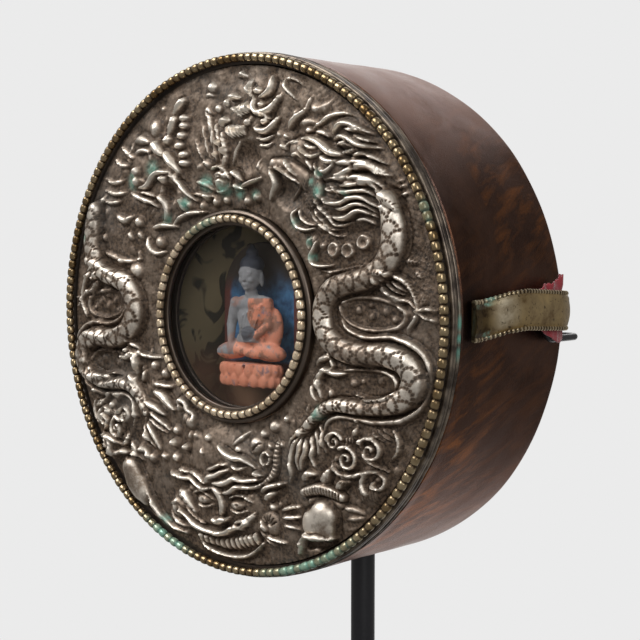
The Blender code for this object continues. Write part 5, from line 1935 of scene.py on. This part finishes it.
def figure_shapes():
    """A calm seated figure of general textbook proportions."""
    shapes = TORSO + HEAD + FACE + CROSSED_LEGS + BOWL + ROBE
    shapes += limb(BARE_SHOULDER, BARE_ELBOW, (1.5, 1.25))
    shapes += limb(BARE_ELBOW, BARE_WRIST, (1.2, 0.8))
    shapes += BARE_HAND
    shapes += limb((4.9, 0.2, 3.0), (6.0, 0, -2.0), (1.6, 1.4))
    shapes += limb((6.0, -0.2, -2.0), (2.4, -1.6, -4.9), (1.3, 0.9))
    # Folds of the robe across the chest.
    for step in range(6):
        shapes += limb((4.6 - 1.15 * step, -1.75, 2.6 - 0.5 * step),
                       (2.0 - 0.95 * step, -1.45, -3.4 - 0.35 * step), (0.26, 0.22), 14)
    return shapes


def fit_figure(mesh, x, depth, z):
    """Scale the figure to its CAD box and set it on its seat."""
    low, high = box_mm("figure")
    z_fit = low[1] + (z - z.min()) * ((high[1] - low[1]) / (z.max() - z.min()))
    x_fit = x * ((high[0] - low[0]) / 2) / np.abs(x).max()
    thick = (high[2] - low[2]) / (depth.max() - depth.min())
    height = high[2] - (depth - depth.min()) * thick
    mesh.vertices.foreach_set("co", world(np.stack([x_fit, z_fit, height], -1)).ravel())
    mesh.update()
    finish_mesh(mesh, 80)


def paint_figure(mesh, x, depth, z):
    """Which parts are orange robe, blue-black hair or bowl, and torso below the neck."""
    skin_side = (x + 0.55 * (z - 1.2)) < -0.6
    bare_hand = (x < -3.8) & (depth < -0.9) & (z > -9.2)
    bowl = (((x - 0.6) / 2.3) ** 2 + ((z + 4.1) / 1.7) ** 2 < 1) & (depth < -0.9)
    robe = (z < -6.2) & ~bare_hand
    robe |= ~skin_side & (z < 4.2) & (x > 0.2)
    robe &= ~bowl
    hairline = 11.6 - 0.9 * np.clip(np.abs(x) / 3, 0, 1) ** 2
    hair = ((z > hairline) | ((depth > 0.6) & (z > 7.2))).astype(float)
    paint(mesh, "robe", robe.astype(float))
    paint(mesh, "torso", (z < 4.5).astype(float))
    paint(mesh, "hair", np.maximum(hair, bowl * 0.7))


def figure():
    """The figure's parts melted into one, fitted to its seat and painted."""
    mesh = blob_mesh("figure", figure_shapes(), CLAY_VOXEL)
    x, depth, z = corners_of(mesh).T
    fit_figure(mesh, x, depth, z)
    paint_figure(mesh, x, depth, z)
    mesh.materials.clear()
    add_piece("seated_figure", mesh, "case", clay_look(), "figure")


PETALS = 18
PETAL_RADII = (1.45, 0.62, 1.75)


def lotus():
    """Two rows of petals, one leaning out and one in, round a drum with a lip at each end."""
    low, high = box_mm("lotus_base")
    top, bottom = high[1], low[1]
    middle = (low[2] + high[2]) / 2
    deep = (high[2] - low[2]) / 2
    wide = high[0]
    shapes = []
    for level, lean, offset in ((top - 1.7, 1, 0.0), (bottom + 1.7, -1, 0.5)):
        for step in range(PETALS):
            angle = TAU * (step + offset) / PETALS
            centre = (0.84 * wide * math.cos(angle), 0.80 * deep * math.sin(angle), level)
            shapes.append((centre, PETAL_RADII, (0.25 * math.cos(angle) * lean, 0, 1)))
    shapes.append(((0, 0, (top + bottom) / 2), (0.80 * wide, 0.72 * deep, 2.6), UP))
    for level in (top - 0.25, bottom + 0.4):
        shapes.append(((0, 0, level), (0.93 * wide, 0.86 * deep, 0.34), UP))
    mesh = blob_mesh("lotus_base", shapes, CLAY_VOXEL, 2)
    x, depth, z = corners_of(mesh).T
    z = np.clip(z, bottom, top)
    mesh.vertices.foreach_set("co", world(np.stack([x, z, middle - depth], -1)).ravel())
    finish_mesh(mesh, 80)
    mesh.materials.clear()
    add_piece("lotus_pedestal", mesh, "case", lotus_look(), "lotus_base")


def aureole():
    """An arched slab with a raised moulded edge."""
    low, high = box_mm("aureole")
    half = high[0]
    arch_z = high[1] - half
    outline = [(-half, low[1]), (half, low[1])]
    outline += [(half * math.cos(a), arch_z + half * math.sin(a))
                for a in np.linspace(0, math.pi, 40)]
    outline = np.array(outline)
    centre = np.array([0.0, (low[1] + high[1]) / 2])
    back, front = low[2], high[2]
    rows, tones = [], []
    for scale, level, tone in ((0.03, front - 0.55, 0), (0.5, front - 0.55, 0),
                               (0.80, front - 0.50, 0), (0.845, front - 0.1, 1),
                               (0.92, front, 1), (0.985, front - 0.15, 1), (1.0, front - 0.4, 1),
                               (1.0, back, 1), (0.03, back, 0)):
        ring = centre + (outline - centre) * scale
        rows.append(np.column_stack([ring, np.full(len(ring), level)]))
        tones.append(np.full(len(ring), float(tone)))
    mesh = grid_mesh("aureole", world(np.array(rows)), wrap_rows=False, caps=True)
    paint(mesh, "rim", np.array(tones))
    heights = np.array(rows)[:, :, 1]
    paint(mesh, "fade", np.clip((heights - 5.5) / 4.0, 0, 1))
    add_piece("aureole_slab", mesh, "case", aureole_look(), "aureole")


def backing():
    """A disc of slightly cockled paper behind the aureole."""
    low, high = box_mm("shrine_backing")
    edge, front, back = high[0], high[2], low[2]
    radii = np.linspace(0.05, edge - 0.3, 26)
    profile = [(r, front - 0.06) for r in radii]
    profile += [(edge, front - 0.3), (edge, back + 0.1), (edge - 0.3, back), (0.05, back)]

    def cockle(radius, height, turn):
        x, z = radius * np.cos(turn), radius * np.sin(turn)
        wave = ripple(x, z, 14.0, 8) * 0.12 * (height > front - 0.2)
        return radius, height - np.abs(wave)

    mesh = disc("shrine_backing", np.array(profile), 120, cockle)
    add_piece("paper_backing", mesh, "case", paper_look(), "shrine_backing")


# Stand


ARM_R = 0.8 * MM
ARM_BEND = 2.6 * MM
# The rounded end of an arm, as angles from its last full section to its tip.
ARM_TIP = (0.0, 0.5, 1.0, 1.4)


def post(look):
    """A round post with a rounded top, and a small chamfer at its foot."""
    low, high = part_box("mount_post")
    x, y = (low[0] + high[0]) / 2, (low[1] + high[1]) / 2
    radius = (high[0] - low[0]) / 2
    rows = []
    for inset, z in ((0.5, low[2]), (0.0, low[2] + 0.5 * MM), (0.0, high[2] - 0.6 * MM),
                     (0.15, high[2] - 0.2 * MM), (0.45, high[2])):
        rows.append((radius - inset * MM, z))
    angle = full_turn(64)
    grid = np.array([[(x + r * math.cos(a), y + r * math.sin(a), z) for a in angle]
                     for r, z in rows])
    mesh = grid_mesh("mount_post", grid, wrap_rows=False, caps=True)
    add_piece("post", mesh, "stand", look, "mount_post")


def arm(side, name, look):
    """A bent rod from the post, out and forward under a loop, and up into a short hook."""
    node = "mount_arm_" + name
    low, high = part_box(node)
    outer = (high[0] if side > 0 else low[0]) - side * ARM_R
    near = low[0] if side > 0 else high[0]
    z = low[2] + ARM_R
    corners = [(near, high[1] - ARM_R, z), (outer, high[1] - ARM_R, z),
               (outer, low[1] + ARM_R, z), (outer, low[1] + ARM_R, high[2])]
    path = bent(corners, ARM_BEND)
    last = path[-1] - path[-2]
    last /= np.linalg.norm(last)
    ends = [path[-1] - last * ARM_R * (1 - math.sin(a)) for a in ARM_TIP]
    radii = [ARM_R] * (len(path) - 1) + [ARM_R * math.cos(a) for a in ARM_TIP]
    mesh = tube_mesh(node, np.vstack([path[:-1], ends]), radii)
    add_piece("arm_" + name, mesh, "stand", look, node)


def tube_mesh(name, path, radii, sides=20):
    """A round rod along a path, turned as little as possible from point to point."""
    ahead = np.gradient(path, axis=0)
    ahead /= np.linalg.norm(ahead, axis=1, keepdims=True)
    side = np.cross(ahead[0], (0.0, 0.0, 1.0))
    rows = []
    angle = full_turn(sides)[:, None]
    for place, heading, radius in zip(path, ahead, radii):
        side = side - heading * np.dot(side, heading)
        side /= np.linalg.norm(side)
        over = np.cross(heading, side)
        rows.append(place + radius * (np.cos(angle) * side + np.sin(angle) * over))
    return grid_mesh(name, np.array(rows), wrap_rows=False, caps=True, sharp=60)


def refinish(node, look):
    """Keep a node's CAD solid, whose shape is right, and give it a finish."""
    materials = frame["nodes"][node].data.materials
    materials.clear()
    materials.append(look)


def stand():
    """The post, both arms, the base and its screw."""
    look = black_look("black_paint", (0.30, 0.42))
    post(look)
    arm(1, "right", look)
    arm(-1, "left", look)
    refinish("mount_base", black_look("black_base", (0.36, 0.5)))
    refinish("post_screw", screw_look())


# Camera, light and floor


# From the middle of the box's front, in metres. Heading and dip are in degrees.
CAMERA_OFFSET = (0.2099, -0.2160, 0.0152)
CAMERA_HEADING, CAMERA_DIP = 40.3, 3.05
LENS, SENSOR_WIDTH = 72.2, 36.0


def camera():
    """A long lens that looks a little down at the box from its right."""
    data = bpy.data.cameras.new("camera")
    made = add_object("camera", data)
    data.lens = LENS
    data.sensor_width = SENSOR_WIDTH
    data.clip_start = 0.01
    made.location = Vector((0.0, FRONT_Y, AXIS_Z)) + Vector(CAMERA_OFFSET)
    heading, dip = math.radians(CAMERA_HEADING), math.radians(CAMERA_DIP)
    aim = Vector((-math.sin(heading) * math.cos(dip), math.cos(heading) * math.cos(dip),
                  -math.sin(dip)))
    made.rotation_mode = "QUATERNION"
    made.rotation_quaternion = aim.to_track_quat("-Z", "Y")
    bpy.context.scene.camera = made


def soft_light(name, place, target, size, radiance):
    """A softbox of an even brightness. Its power follows from its size."""
    data = bpy.data.lights.new(name, "AREA")
    data.shape = "RECTANGLE"
    data.size, data.size_y = size
    data.energy = radiance * math.pi * size[0] * size[1]
    made = add_object(name, data)
    made.location = place
    made.rotation_mode = "QUATERNION"
    made.rotation_quaternion = (Vector(target) - Vector(place)).to_track_quat("-Z", "Y")
    made.visible_camera = False


FLOOR_R, DOME_R = 1.6, 3.2
BACKGROUND = 0.831
AMBIENT_COLOUR, AMBIENT = (1.0, 0.98, 0.95, 1.0), 0.27
# Softboxes, as (name, place, size, radiance). All face the box.
SOFTBOXES = (
    ("key", (-0.55, -0.80, 1.05), (0.95, 0.75), 7.6),
    ("side", (0.95, -0.75, 0.60), (0.45, 0.70), 5.0),
    ("backdrop", (-0.75, 1.0, 0.75), (1.5, 1.1), 1.5),
    ("below", (-0.35, 0.8, -0.45), (0.9, 0.6), 0.8),
)


def dome():
    """A pale floor that curves up into a pale dome."""
    profile = [(0.01, 0.0), (FLOOR_R * 0.5, 0.0), (FLOOR_R, 0.0)]
    profile += [(FLOOR_R + (DOME_R - FLOOR_R) * math.sin(a), DOME_R * 0.5 * (1 - math.cos(a)))
                for a in np.linspace(0.1, math.pi / 2, 8)]
    profile += [(DOME_R * math.cos(a), DOME_R * (0.5 + math.sin(a)))
                for a in np.linspace(0.15, math.pi / 2 - 0.01, 10)]
    turn = full_turn(64)
    rows = [np.stack([r * np.cos(turn), r * np.sin(turn), np.full(len(turn), z)], axis=-1)
            for r, z in profile]
    mesh = grid_mesh("studio_floor", np.array(rows), wrap_rows=False, caps=True)
    floor = add_object("studio_floor", mesh)
    n = Nodes("studio_paper")
    mesh.materials.append(n.set(Base_Color=(0.0, 0.0, 0.0), Roughness=0.9,
                                Specular_IOR_Level=0.0, Emission_Color=(1.0, 1.0, 1.0),
                                Emission_Strength=BACKGROUND))
    # It is only a background: it neither lights the object nor shows in it.
    floor.visible_glossy = False
    floor.visible_diffuse = False
    floor.visible_transmission = False
    floor.visible_shadow = False


def studio():
    """The dome, four softboxes and a dim room."""
    dome()
    for name, place, size, radiance in SOFTBOXES:
        soft_light(name, place, (0.0, 0.0, AXIS_Z), size, radiance)
    room = bpy.data.worlds.new("studio")
    bpy.context.scene.world = room
    room.use_nodes = True
    ambient = room.node_tree.nodes["Background"]
    ambient.inputs["Color"].default_value = AMBIENT_COLOUR
    ambient.inputs["Strength"].default_value = AMBIENT
    bpy.context.scene.view_settings.view_transform = "Standard"


OUTER_BEADS = bead_look("beaded_brass", OUTER_BRASS, 0.95)
WINDOW_BEADS = bead_look("window_beads", WINDOW_BRASS_AND_HIGHLIGHT, 0.6)
RIM_LOOK = dark_rim_look()
LOOP_LOOK = loop_look()
COPPER = copper_look()

camera()
embossed_plate()
beaded_ring("outer_beaded_wire", BEAD_R, WIRE_R, 0.0, 172, ((-67, 13), (23, 3), (-112, 8)),
            OUTER_BEADS)
beaded_ring("window_beaded_wire", INNER_BEAD_R + 0.25, 0.97 * INNER_WIRE_R,
            (INNER_WIRE_LOW + INNER_WIRE_HIGH) / 2, 63, ((112, 12),), WINDOW_BEADS)
rim_band()
rim_wire()
collar()
pane()
inner_rings()
case_wall(COPPER)
case_back(COPPER)
strap_loop(1.0, "right")
strap_loop(-1.0, "left")
red_cloth()
backing()
aureole()
lotus()
figure()
stand()
studio()
